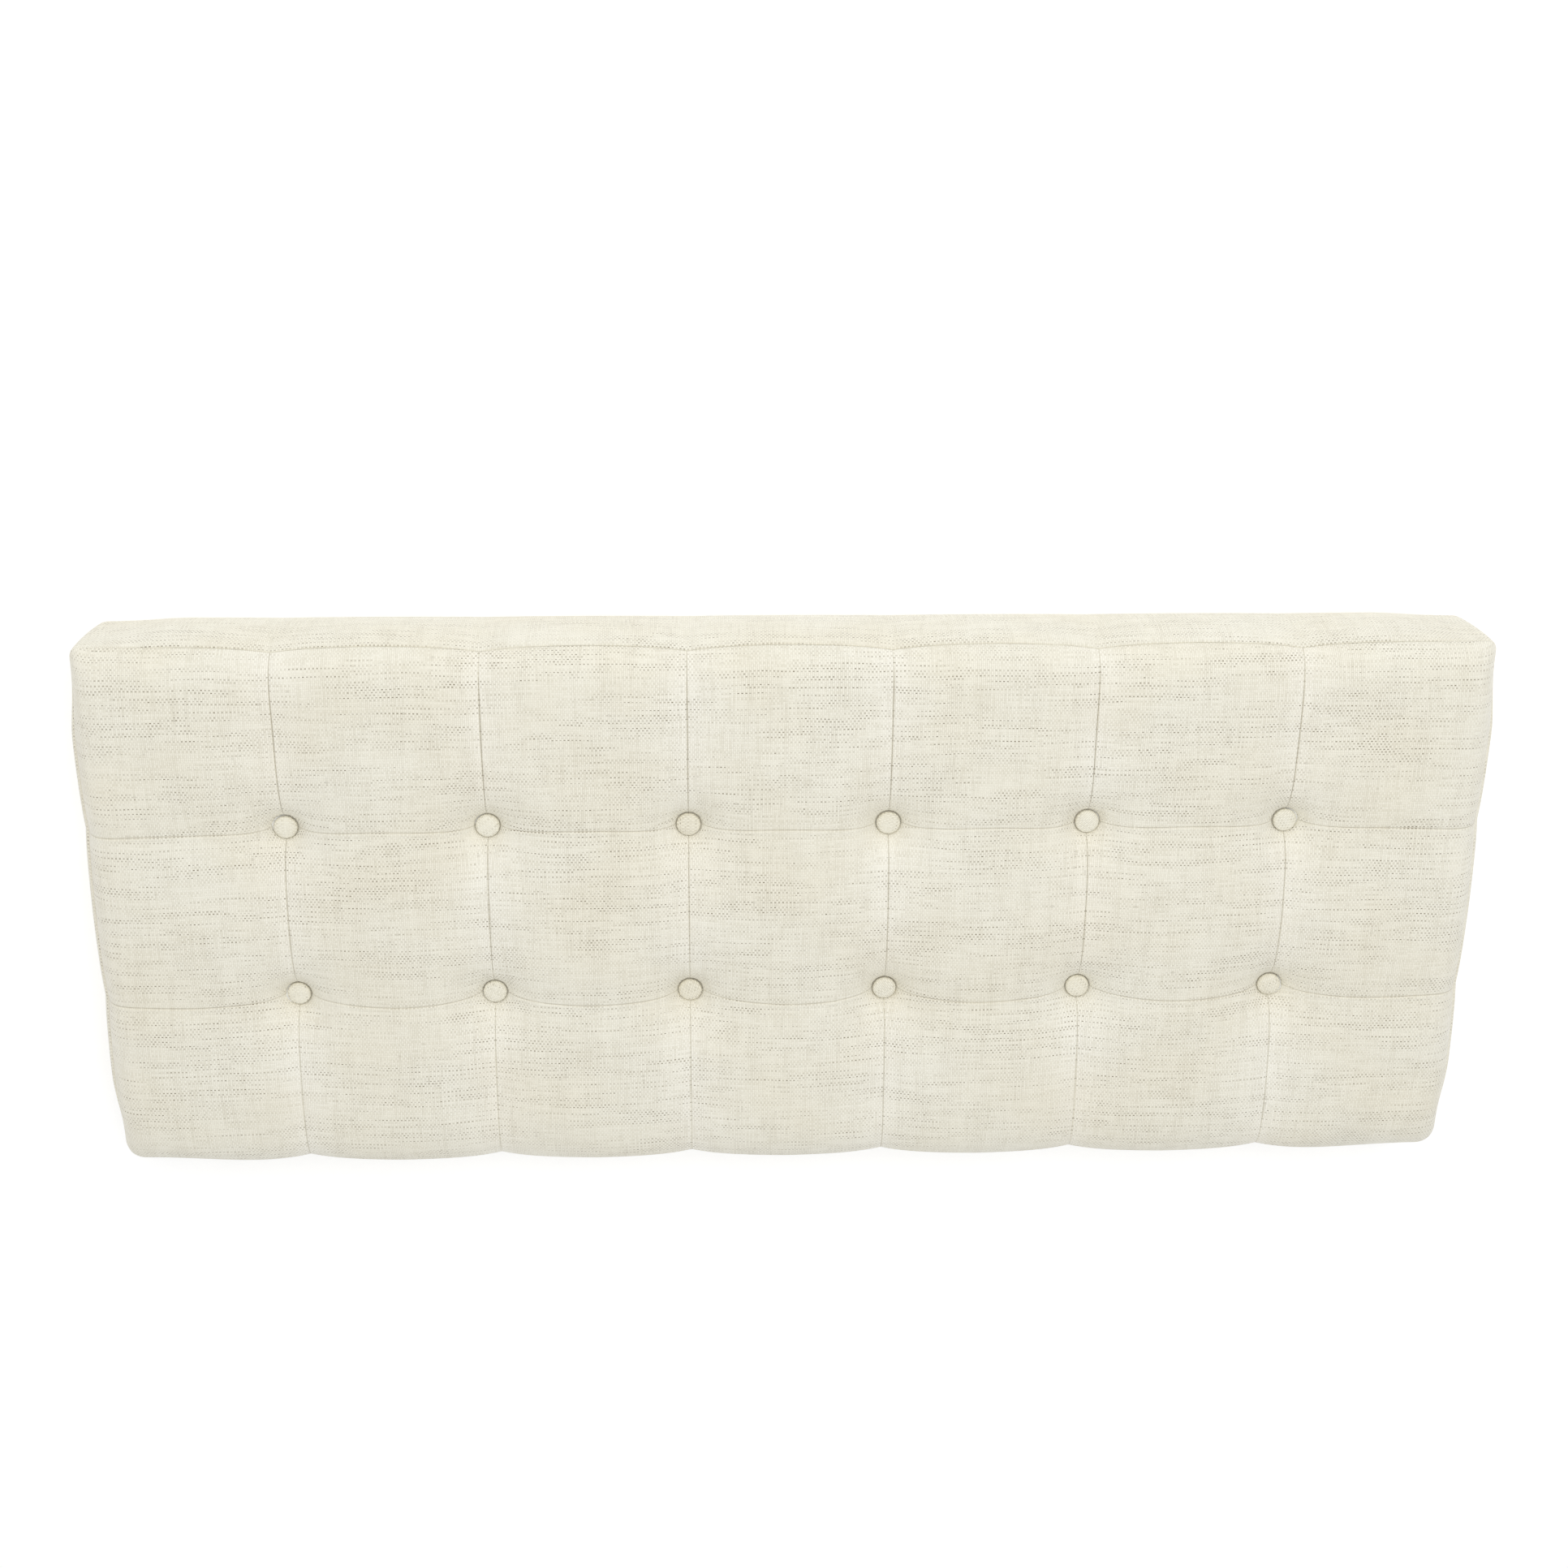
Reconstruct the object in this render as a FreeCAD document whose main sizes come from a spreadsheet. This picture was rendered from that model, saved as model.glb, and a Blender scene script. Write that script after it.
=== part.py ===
import FreeCAD, Part

import math
import os

import Sketcher
from FreeCAD import Placement, Rotation, Vector

# A long, button-tufted seat pad: a woven box cover over a foam core, wrapped in wadding.
# X runs along the seat, Y from the front to the back, Z up. The origin is the middle of the
# underside. Twelve covered buttons are tied with twine, through everything, to plain anchor
# buttons underneath. The cover closes with a zip in the rear boxing.

# Driving dimensions in millimetres: name, value, meaning.
SIZES = (
    ("pad_length", 1220, "cover, side to side"),
    ("pad_depth", 490, "cover, front to back"),
    ("seam_height", 90, "underside to the seam round the tufted face"),
    ("crown_rise", 24, "tufted face above that seam"),
    ("corner_radius", 28, "corners of the cover, from above"),
    ("shoulder_radius", 22, "rounding from the tufted face to the seam"),
    ("cover_thickness", 1.2, "woven cover"),
    ("wadding_base", 5.8, "wadding under the foam"),
    ("wadding_edge", 3, "foam's top below the seam"),
    ("button_pitch_x", 176.5, "between columns of buttons"),
    ("button_pitch_y", 163.5, "between rows of buttons"),
    ("button_radius", 11, "covered button"),
    ("button_dome", 5.5, "covered button, height of its dome"),
    ("button_shell", 1.2, "cap and the fabric over it"),
    ("button_sink", 7, "fabric under a button below the seam"),
    ("button_margin", 2, "level fabric round a button"),
    ("hollow_radius", 45, "hollow round a button, at the crown"),
    ("plate_thickness", 0.8, "plate in the back of a button"),
    ("plate_clearance", 0.4, "plate to the cap round it"),
    ("eye_radius", 2.2, "wire eye of a button, middle of the wire"),
    ("eye_wire", 0.6, "wire eye, radius of its wire"),
    ("eye_clearance", 0.2, "wire eye to the twine and to the foam"),
    ("twine_radius", 0.8, "tufting twine"),
    ("loop_twine", 0.65, "twine drawn tight in the loop, radius"),
    ("twine_clearance", 0.2, "twine to the holes it passes"),
    ("anchor_radius", 10, "anchor button"),
    ("anchor_thickness", 3, "anchor button"),
    ("anchor_edge", 0.9, "anchor button, rounding of its edges"),
    ("anchor_sink", 5.5, "fabric over an anchor button above the underside"),
    ("anchor_margin", 1.5, "level fabric round an anchor button"),
    ("base_hollow_radius", 28, "hollow round an anchor button, at the underside"),
    ("knot_radius", 1.9, "knot of the twine"),
    ("knot_height", 1.6, "knot of the twine"),
    ("opening_length", 1112, "zip opening in the rear boxing"),
    ("opening_height", 12, "between the two folded edges"),
    ("hem_width", 12, "fabric folded in along the zip"),
    ("zip_length", 1100, "chain of the zip with its stops"),
    ("chain_width", 6, "both coils together"),
    ("chain_thickness", 2.5, "coils"),
    ("chain_gap", 1.2, "between the two coils"),
    ("tape_length", 1128, "zip tape"),
    ("tape_width", 14, "each zip tape"),
    ("tape_thickness", 0.7, "zip tape"),
    ("stop_length", 5, "stops at the ends of the chain"),
    ("stop_overhang", 0.45, "stops past the faces of the coils"),
    ("slider_length", 12.5, "zip slider"),
    ("slider_width", 10.5, "zip slider"),
    ("slider_wall", 1.6, "outer and inner plates of the slider"),
    ("slider_corner", 2, "corners of the slider's plates"),
    ("zip_clearance", 0.3, "slider to the chain and tapes"),
    ("slider_to_stop", 0.75, "slider to a stop at the end of its travel"),
    ("foam_relief", 0.6, "foam to the slider"),
    ("bail_length", 8, "bail of the slider"),
    ("bail_height", 3.4, "bail above the outer plate"),
    ("bail_width", 2.2, "bail"),
    ("bail_wall", 1.1, "bail"),
    ("bar_radius", 0.7, "end bar of the pull"),
    ("bar_clearance", 0.3, "end bar to the outer plate"),
    ("pull_length", 24, "from the end bar to the free end"),
    ("pull_width", 7, "pull"),
    ("pull_thickness", 1.2, "pull"),
    ("pull_corner", 2.4, "free corners of the pull"),
    ("window_width", 4, "window of the pull, round the bail"),
    ("window_length", 5.6, "window of the pull, from the end bar's middle"),
    ("reach", 4, "how far a cutting shape runs past what it cuts"),
)

COLUMNS = 6
ROWS = 2

doc = FreeCAD.newDocument("seat_pad")
sizes = doc.addObject("Spreadsheet::Sheet", "Sizes")
for row, (alias, value, meaning) in enumerate(SIZES, start=1):
    sizes.set(f"A{row}", meaning)
    sizes.set(f"B{row}", str(value))
    sizes.setAlias(f"B{row}", alias)
doc.recompute()

# Levels and places that several pieces share, as expressions of the driving dimensions.
SEAM = "Sizes.seam_height"
CROWN = "(Sizes.seam_height + Sizes.crown_rise)"
COVER = "Sizes.cover_thickness"
FOAM_TOP = "(Sizes.seam_height - Sizes.wadding_edge)"
FOAM_BOTTOM = "(Sizes.cover_thickness + Sizes.wadding_base)"
BUTTON_SEAT = "(Sizes.seam_height - Sizes.button_sink)"
ANCHOR_SEAT = "Sizes.anchor_sink"
INNER_LENGTH = "(Sizes.pad_length - 2 * Sizes.cover_thickness)"
INNER_DEPTH = "(Sizes.pad_depth - 2 * Sizes.cover_thickness)"
INNER_CORNER = "(Sizes.corner_radius - Sizes.cover_thickness)"
REAR = "(Sizes.pad_depth / 2)"
ZIP_LEVEL = "(Sizes.seam_height / 2)"
CHAIN_Y = "(Sizes.pad_depth / 2 - 2 * Sizes.cover_thickness - Sizes.tape_thickness / 2)"
COIL_WIDTH = "((Sizes.chain_width - Sizes.chain_gap) / 2)"
COIL_LENGTH = "(Sizes.zip_length - 2 * Sizes.stop_length)"
CHANNEL_HALF = "(Sizes.chain_thickness / 2 + Sizes.zip_clearance)"
PLATE_FACE = f"({CHAIN_Y} + {CHANNEL_HALF} + Sizes.slider_wall)"
SLIDER_X = f"({COIL_LENGTH} / 2 - Sizes.slider_to_stop - Sizes.slider_length / 2)"
PULL_Y = f"({PLATE_FACE} + Sizes.bar_clearance + Sizes.bar_radius)"


def size(alias):
    """Returns the value of a driving dimension."""
    return float(sizes.get(alias))


def bind(item, expressions):
    """Ties properties of an object to expressions."""
    for name, expression in expressions.items():
        item.setExpression(name, expression)
    return item


def place(item, x="0", y="0", z="0"):
    """Ties the place of an object to expressions."""
    return bind(item, {"Placement.Base.x": x, "Placement.Base.y": y, "Placement.Base.z": z})


def box(name, x, y, z, length, depth, height):
    """A box from its lowest corner and its sides, all expressions."""
    item = doc.addObject("Part::Box", name)
    bind(item, {"Length": length, "Width": depth, "Height": height})
    return place(item, x, y, z)


def middle_box(name, y, z, length, depth, height, x="0"):
    """A box whose middle along X is at x."""
    return box(name, f"{x} - ({length}) / 2", y, z, length, depth, height)


def cylinder(name, x, y, z, radius, height):
    """An upright cylinder from the middle of its lower face."""
    item = doc.addObject("Part::Cylinder", name)
    bind(item, {"Radius": radius, "Height": height})
    return place(item, x, y, z)


def fuse(name, items):
    item = doc.addObject("Part::MultiFuse", name)
    item.Shapes = items
    item.Refine = True
    return item


def cut(name, base, tool):
    item = doc.addObject("Part::Cut", name)
    item.Base = base
    item.Tool = tool
    item.Refine = True
    return item


def cut_all(name, base, tools):
    """Cuts several shapes from one, as a chain of cuts."""
    for count, tool in enumerate(tools[:-1], start=1):
        base = cut(f"{name}_less_{count}", base, tool)
    return cut(name, base, tools[-1])


def common(name, first, second):
    item = doc.addObject("Part::Common", name)
    item.Base = first
    item.Tool = second
    return item


def compound(name, items):
    item = doc.addObject("Part::Compound", name)
    item.Links = items
    return item


def origin_plane(body, role):
    """One of a body's own origin planes."""
    return next(plane for plane in body.Origin.OriginFeatures if plane.Role == role)


def new_sketch(body, name, role):
    sketch = body.newObject("Sketcher::SketchObject", name)
    sketch.AttachmentSupport = [(origin_plane(body, role), "")]
    sketch.MapMode = "FlatFace"
    return sketch


def constrain(sketch, name, kind, *numbers, expression):
    """Adds a dimension to a sketch and ties it to an expression."""
    index = sketch.addConstraint(Sketcher.Constraint(kind, *numbers))
    sketch.renameConstraint(index, name)
    sketch.setExpression(f"Constraints.{name}", expression)


def draw_rounded_rectangle(sketch, length, depth, radius):
    """Draws a rounded rectangle about the sketch's origin; its sizes are expressions."""
    half_x, half_y, corner = size("pad_length") / 2, size("pad_depth") / 2, size("corner_radius")
    straight_x, straight_y = half_x - corner, half_y - corner
    turns = ((straight_x, straight_y), (-straight_x, straight_y))
    turns += ((-straight_x, -straight_y), (straight_x, -straight_y))
    sides = (
        ((straight_x, half_y), (-straight_x, half_y)),
        ((-half_x, straight_y), (-half_x, -straight_y)),
        ((-straight_x, -half_y), (straight_x, -half_y)),
        ((half_x, -straight_y), (half_x, straight_y)),
    )
    for number, (turn, (start, end)) in enumerate(zip(turns, sides)):
        circle = Part.Circle(Vector(*turn, 0), Vector(0, 0, 1), corner)
        first_angle = number * math.pi / 2
        sketch.addGeometry(Part.ArcOfCircle(circle, first_angle, first_angle + math.pi / 2))
        sketch.addGeometry(Part.LineSegment(Vector(*start, 0), Vector(*end, 0)))
    for arc in (0, 2, 4, 6):
        side, next_arc = arc + 1, (arc + 2) % 8
        sketch.addConstraint(Sketcher.Constraint("Tangent", arc, 2, side, 1))
        sketch.addConstraint(Sketcher.Constraint("Tangent", side, 2, next_arc, 1))
    for arc in (2, 4, 6):
        sketch.addConstraint(Sketcher.Constraint("Equal", 0, arc))
    sketch.addConstraint(Sketcher.Constraint("Symmetric", 1, 1, 1, 2, -2))
    sketch.addConstraint(Sketcher.Constraint("Symmetric", 3, 1, 3, 2, -1))
    sketch.addConstraint(Sketcher.Constraint("Horizontal", 5))
    sketch.addConstraint(Sketcher.Constraint("Vertical", 7))
    constrain(sketch, "length", "DistanceX", 3, 1, 7, 1, 2 * half_x, expression=length)
    constrain(sketch, "depth", "DistanceY", 5, 1, 1, 1, 2 * half_y, expression=depth)
    constrain(sketch, "corner", "Radius", 0, corner, expression=radius)


def plan_slab(name, length, depth, corner, bottom, height, shoulder=None):
    """A slab with the rounded plan of the pad; shoulder rounds its upper edge."""
    body = doc.addObject("PartDesign::Body", name)
    sketch = new_sketch(body, f"{name}_plan", "XY_Plane")
    draw_rounded_rectangle(sketch, length, depth, corner)
    pad = body.newObject("PartDesign::Pad", f"{name}_pad")
    pad.Profile = sketch
    bind(pad, {"Length": height})
    doc.recompute()
    if shoulder:
        top = max(range(len(pad.Shape.Faces)), key=lambda i: pad.Shape.Faces[i].CenterOfMass.z)
        rounding = body.newObject("PartDesign::Fillet", f"{name}_shoulder")
        rounding.Base = (pad, [f"Face{top + 1}"])
        bind(rounding, {"Radius": shoulder})
    return place(body, z=bottom)


def button_places():
    """Yields the row and column number of each button, and its X and Y as expressions."""
    for row in range(ROWS):
        for column in range(COLUMNS):
            x = f"({column - (COLUMNS - 1) / 2} * Sizes.button_pitch_x)"
            y = f"({row - (ROWS - 1) / 2} * Sizes.button_pitch_y)"
            yield f"r{row + 1}c{column + 1}", x, y


def hollows(name, bottom, height, low_radius, high_radius):
    """A cone at every button, together one shape that cuts or forms the hollows."""
    cones = []
    for spot, x, y in button_places():
        cone = doc.addObject("Part::Cone", f"{name}_{spot}")
        bind(cone, {"Radius1": low_radius, "Radius2": high_radius, "Height": height})
        cones.append(place(cone, x, y, bottom))
    return fuse(name, cones)


def holes(name, bottom, height, radius):
    """A round hole at every button, together one cutting shape."""
    return fuse(
        name,
        [cylinder(f"{name}_{spot}", x, y, bottom, radius, height) for spot, x, y in button_places()],
    )


# --- Hollows and holes at the buttons ---------------------------------------------------

SEAT_RADIUS = "(Sizes.button_radius + Sizes.button_margin)"
HOLLOW_DEPTH = "(Sizes.crown_rise + Sizes.button_sink)"
HOLLOW_SLOPE = f"((Sizes.hollow_radius - {SEAT_RADIUS}) / {HOLLOW_DEPTH})"
HOLLOW_LIP = f"({COVER} * (sqrt(1 + {HOLLOW_SLOPE} * {HOLLOW_SLOPE}) - {HOLLOW_SLOPE}))"
ANCHOR_SEAT_RADIUS = "(Sizes.anchor_radius + Sizes.anchor_margin)"
BASE_SLOPE = f"((Sizes.base_hollow_radius - {ANCHOR_SEAT_RADIUS}) / {ANCHOR_SEAT})"
BASE_LIP = f"({COVER} * (sqrt(1 + {BASE_SLOPE} * {BASE_SLOPE}) - {BASE_SLOPE}))"

face_hollows = hollows(
    "face_hollows",
    bottom=BUTTON_SEAT,
    height=f"{HOLLOW_DEPTH} + Sizes.reach",
    low_radius=SEAT_RADIUS,
    high_radius=f"{SEAT_RADIUS} + {HOLLOW_SLOPE} * ({HOLLOW_DEPTH} + Sizes.reach)",
)
face_cups = hollows(
    "face_cups",
    bottom=f"{BUTTON_SEAT} - {COVER}",
    height=f"{HOLLOW_DEPTH} + {COVER} + Sizes.reach",
    low_radius=f"{SEAT_RADIUS} + {HOLLOW_LIP}",
    high_radius=f"{SEAT_RADIUS} + {HOLLOW_LIP}"
    f" + {HOLLOW_SLOPE} * ({HOLLOW_DEPTH} + {COVER} + Sizes.reach)",
)
base_hollows = hollows(
    "base_hollows",
    bottom="-Sizes.reach",
    height=f"{ANCHOR_SEAT} + Sizes.reach",
    low_radius=f"{ANCHOR_SEAT_RADIUS} + {BASE_SLOPE} * ({ANCHOR_SEAT} + Sizes.reach)",
    high_radius=ANCHOR_SEAT_RADIUS,
)
base_cups = hollows(
    "base_cups",
    bottom="-Sizes.reach",
    height=f"{ANCHOR_SEAT} + {COVER} + Sizes.reach",
    low_radius=f"{ANCHOR_SEAT_RADIUS} + {BASE_LIP}"
    f" + {BASE_SLOPE} * ({ANCHOR_SEAT} + {COVER} + Sizes.reach)",
    high_radius=f"{ANCHOR_SEAT_RADIUS} + {BASE_LIP}",
)
tuft_holes = holes(
    "tuft_holes",
    bottom=FOAM_BOTTOM,
    height=f"{BUTTON_SEAT} - {FOAM_BOTTOM} + Sizes.reach",
    radius="Sizes.eye_radius + Sizes.eye_wire + Sizes.eye_clearance",
)
needle_holes = holes(
    "needle_holes",
    bottom="-Sizes.reach",
    height=f"{FOAM_BOTTOM} + 2 * Sizes.reach",
    radius="Sizes.twine_radius + Sizes.twine_clearance",
)

# --- Cover and filling --------------------------------------------------------------------

SHOULDER = "min(Sizes.shoulder_radius; Sizes.crown_rise - Sizes.cover_thickness / 2)"
WHOLE_PLAN = ("Sizes.pad_length", "Sizes.pad_depth", "Sizes.corner_radius")
INNER_PLAN = (INNER_LENGTH, INNER_DEPTH, INNER_CORNER)

face_block = plan_slab(
    "face_block", *WHOLE_PLAN, bottom=SEAM, height="Sizes.crown_rise", shoulder=SHOULDER
)
filling_block = plan_slab(
    "filling_block",
    *INNER_PLAN,
    bottom=FOAM_TOP,
    height=f"{CROWN} - {COVER} - {FOAM_TOP}",
    shoulder=f"{SHOULDER} - {COVER}",
)

# The wadding on top fills the space under the cover and is pinched at each button.
wadding_top = cut_all("wadding_top", filling_block, [face_cups, tuft_holes])

# The tufted face is one layer of cover: crown outside, wadding inside, a cup at each button.
below_crown = middle_box(
    "below_crown",
    y=f"-{REAR}",
    z="0",
    length="Sizes.pad_length",
    depth="Sizes.pad_depth",
    height=f"{SEAM} + Sizes.crown_rise / 2",
)
cup_solids = common("cup_solids", face_cups, below_crown)
face_with_cups = fuse("face_with_cups", [face_block, cup_solids])
face_space = cut("face_space", filling_block, face_cups)
top_panel = cut_all("top_panel", face_with_cups, [face_space, face_hollows, tuft_holes])

# The underside is flat between the anchor buttons.
base_sheet = plan_slab("base_sheet", *WHOLE_PLAN, bottom="0", height=COVER)
above_floor = middle_box(
    "above_floor",
    y=f"-{REAR}",
    z="0",
    length="Sizes.pad_length",
    depth="Sizes.pad_depth",
    height=SEAM,
)
base_cup_solids = common("base_cup_solids", base_cups, above_floor)
base_with_cups = fuse("base_with_cups", [base_sheet, base_cup_solids])
bottom_panel = cut_all("bottom_panel", base_with_cups, [base_hollows, needle_holes])

base_filling = plan_slab(
    "base_filling", *INNER_PLAN, bottom=COVER, height=f"{FOAM_BOTTOM} - {COVER}"
)
wadding_base = cut_all("wadding_base", base_filling, [base_cups, needle_holes])

# The boxing goes round the front and sides, and its ends meet the zip panel at the back.
boxing_outside = plan_slab(
    "boxing_outside", *WHOLE_PLAN, bottom=COVER, height=f"{SEAM} - {COVER}"
)
boxing_inside = plan_slab("boxing_inside", *INNER_PLAN, bottom="0", height=f"{SEAM} + {COVER}")
rear_opening = middle_box(
    "rear_opening",
    y="0",
    z="0",
    length="Sizes.opening_length",
    depth="Sizes.pad_depth",
    height=f"{SEAM} + Sizes.reach",
)
boxing_strip = cut_all("boxing_strip", boxing_outside, [boxing_inside, rear_opening])


def rear_boxing(name, low, high, hem_low):
    """Half of the zip panel: one layer of cover, folded in along the zip."""
    layer = middle_box(
        f"{name}_layer",
        y=f"{REAR} - {COVER}",
        z=low,
        length="Sizes.opening_length",
        depth=COVER,
        height=f"{high} - ({low})",
    )
    hem = middle_box(
        f"{name}_hem",
        y=f"{REAR} - 2 * {COVER}",
        z=hem_low,
        length="Sizes.opening_length",
        depth=COVER,
        height="Sizes.hem_width",
    )
    return fuse(name, [layer, hem])


UPPER_FOLD = f"({ZIP_LEVEL} + Sizes.opening_height / 2)"
LOWER_FOLD = f"({ZIP_LEVEL} - Sizes.opening_height / 2)"
rear_boxing_upper = rear_boxing("rear_boxing_upper", UPPER_FOLD, SEAM, UPPER_FOLD)
rear_boxing_lower = rear_boxing(
    "rear_boxing_lower", COVER, LOWER_FOLD, f"{LOWER_FOLD} - Sizes.hem_width"
)

# The foam fills the cover, with a shallow recess behind the zip.
RECESS_HALF = (
    "(max(Sizes.chain_width / 2 + Sizes.tape_width; Sizes.opening_height / 2 + Sizes.hem_width)"
    " + Sizes.foam_relief)"
)
SLIDER_INSIDE = f"({CHAIN_Y} - {CHANNEL_HALF} - Sizes.slider_wall)"
foam_block = plan_slab(
    "foam_block", *INNER_PLAN, bottom=FOAM_BOTTOM, height=f"{FOAM_TOP} - {FOAM_BOTTOM}"
)
zip_recess = middle_box(
    "zip_recess",
    y=f"{SLIDER_INSIDE} - Sizes.foam_relief",
    z=f"{ZIP_LEVEL} - {RECESS_HALF}",
    length="Sizes.tape_length + 2 * Sizes.foam_relief",
    depth="Sizes.pad_depth",
    height=f"2 * {RECESS_HALF}",
)
foam_core = cut_all("foam_core", foam_block, [face_cups, base_cups, tuft_holes, zip_recess])

# --- Buttons ------------------------------------------------------------------------------


def covered_button(name, x, y):
    """A domed cap with fabric over it, open at the back."""
    radius, dome, shell = size("button_radius"), size("button_dome"), size("button_shell")
    sphere = (radius**2 + dome**2) / (2 * dome)
    middle = dome - sphere
    inner_sphere = sphere - shell
    inner_radius = math.sqrt(inner_sphere**2 - middle**2)
    body = doc.addObject("PartDesign::Body", name)
    sketch = new_sketch(body, f"{name}_section", "XZ_Plane")
    for ball, rim in ((sphere, radius), (inner_sphere, inner_radius)):
        circle = Part.Circle(Vector(0, middle, 0), Vector(0, 0, 1), ball)
        sketch.addGeometry(Part.ArcOfCircle(circle, math.atan2(-middle, rim), math.pi / 2))
    sketch.addGeometry(Part.LineSegment(Vector(inner_radius, 0, 0), Vector(radius, 0, 0)))
    sketch.addGeometry(Part.LineSegment(Vector(0, dome - shell, 0), Vector(0, dome, 0)))
    for first, first_end, second, second_end in (
        (0, 3, 1, 3),
        (1, 1, 2, 1),
        (0, 1, 2, 2),
        (1, 2, 3, 1),
        (0, 2, 3, 2),
    ):
        joint = Sketcher.Constraint("Coincident", first, first_end, second, second_end)
        sketch.addConstraint(joint)
    sketch.addConstraint(Sketcher.Constraint("PointOnObject", 0, 3, -2))
    sketch.addConstraint(Sketcher.Constraint("PointOnObject", 3, 1, -2))
    sketch.addConstraint(Sketcher.Constraint("PointOnObject", 3, 2, -2))
    sketch.addConstraint(Sketcher.Constraint("PointOnObject", 2, 1, -1))
    sketch.addConstraint(Sketcher.Constraint("PointOnObject", 2, 2, -1))
    constrain(sketch, "rim", "DistanceX", -1, 1, 2, 2, radius, expression="Sizes.button_radius")
    constrain(sketch, "dome", "DistanceY", -1, 1, 3, 2, dome, expression="Sizes.button_dome")
    constrain(sketch, "shell", "DistanceY", 3, 1, 3, 2, shell, expression="Sizes.button_shell")
    turned = body.newObject("PartDesign::Revolution", f"{name}_turned")
    turned.Profile = sketch
    turned.ReferenceAxis = (sketch, ["V_Axis"])
    turned.Angle = 360
    return place(body, x, y, BUTTON_SEAT)


def anchor_button(name, x, y):
    """A plain round button with a hole for the twine."""
    radius, hole = size("anchor_radius"), size("twine_radius") + size("twine_clearance")
    body = doc.addObject("PartDesign::Body", name)
    sketch = new_sketch(body, f"{name}_plan", "XY_Plane")
    for ring in (radius, hole):
        sketch.addGeometry(Part.Circle(Vector(0, 0, 0), Vector(0, 0, 1), ring))
    for ring in (0, 1):
        sketch.addConstraint(Sketcher.Constraint("Coincident", ring, 3, -1, 1))
    constrain(sketch, "rim", "Radius", 0, radius, expression="Sizes.anchor_radius")
    constrain(
        sketch, "hole", "Radius", 1, hole, expression="Sizes.twine_radius + Sizes.twine_clearance"
    )
    pad = body.newObject("PartDesign::Pad", f"{name}_pad")
    pad.Profile = sketch
    bind(pad, {"Length": "Sizes.anchor_thickness"})
    doc.recompute()
    rims = [
        f"Edge{number}"
        for number, edge in enumerate(pad.Shape.Edges, start=1)
        if edge.Closed and edge.Curve.TypeId == "Part::GeomCircle" and edge.Curve.Radius > radius / 2
    ]
    rounding = body.newObject("PartDesign::Fillet", f"{name}_edges")
    rounding.Base = (pad, rims)
    bind(rounding, {"Radius": "Sizes.anchor_edge"})
    return place(body, x, y, f"{ANCHOR_SEAT} - Sizes.anchor_thickness")


def ring(name, x, y, z, radius, wire, turn):
    """A closed ring of wire or twine; turn stands it upright."""
    item = doc.addObject("Part::Torus", name)
    bind(item, {"Radius1": radius, "Radius2": wire})
    item.Placement = Placement(Vector(), turn)
    return place(item, x, y, z)


ACROSS = Rotation(Vector(1, 0, 0), 90)
ALONG = Rotation(Vector(0, 1, 0), 90)
EYE_Z = f"({BUTTON_SEAT} - Sizes.eye_radius - Sizes.eye_wire)"
LOOP_RADIUS = "(Sizes.eye_wire + Sizes.eye_clearance + Sizes.loop_twine)"
LOOP_Z = f"({EYE_Z} - Sizes.eye_radius)"
KNOT_TOP = f"({ANCHOR_SEAT} - Sizes.anchor_thickness)"
CAP_BALL = (
    "((Sizes.button_radius * Sizes.button_radius + Sizes.button_dome * Sizes.button_dome)"
    " / (2 * Sizes.button_dome))"
)
PLATE_ROOM = f"({CAP_BALL} - Sizes.button_shell)"
PLATE_RISE = f"({CAP_BALL} - Sizes.button_dome + Sizes.plate_thickness)"
PLATE_RADIUS = (
    f"(sqrt({PLATE_ROOM} * {PLATE_ROOM} - {PLATE_RISE} * {PLATE_RISE}) - Sizes.plate_clearance)"
)


def tuft_twine(name, x, y):
    """Twine from a loop in the wire eye down to a knot under the anchor button."""
    loop = ring(f"{name}_loop", x, y, LOOP_Z, LOOP_RADIUS, "Sizes.loop_twine", ALONG)
    run = cylinder(
        f"{name}_run", x, y, KNOT_TOP, "Sizes.twine_radius", f"{LOOP_Z} - {LOOP_RADIUS} - {KNOT_TOP}"
    )
    knot = cylinder(
        f"{name}_knot", x, y, f"{KNOT_TOP} - Sizes.knot_height", "Sizes.knot_radius", "Sizes.knot_height"
    )
    return fuse(name, [loop, run, knot])


tuft_buttons, tuft_twines, anchor_buttons, plates, eyes = [], [], [], [], []
for spot, spot_x, spot_y in button_places():
    tuft_buttons.append(covered_button(f"tuft_button_{spot}", spot_x, spot_y))
    tuft_twines.append(tuft_twine(f"tuft_twine_{spot}", spot_x, spot_y))
    anchor_buttons.append(anchor_button(f"anchor_button_{spot}", spot_x, spot_y))
    plate = cylinder(
        f"plate_{spot}", spot_x, spot_y, BUTTON_SEAT, PLATE_RADIUS, "Sizes.plate_thickness"
    )
    plates.append(plate)
    eyes.append(
        ring(f"eye_{spot}", spot_x, spot_y, EYE_Z, "Sizes.eye_radius", "Sizes.eye_wire", ACROSS)
    )
button_back_plates = compound("button_back_plates", plates)
button_wire_eyes = compound("button_wire_eyes", eyes)

# --- Zip ------------------------------------------------------------------------------------


def zip_tape(name, low):
    return middle_box(
        name,
        y=f"{CHAIN_Y} - Sizes.tape_thickness / 2",
        z=low,
        length="Sizes.tape_length",
        depth="Sizes.tape_thickness",
        height="Sizes.tape_width",
    )


def zip_coil(name, low):
    return middle_box(
        name,
        y=f"{CHAIN_Y} - Sizes.chain_thickness / 2",
        z=low,
        length=COIL_LENGTH,
        depth="Sizes.chain_thickness",
        height=COIL_WIDTH,
    )


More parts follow.
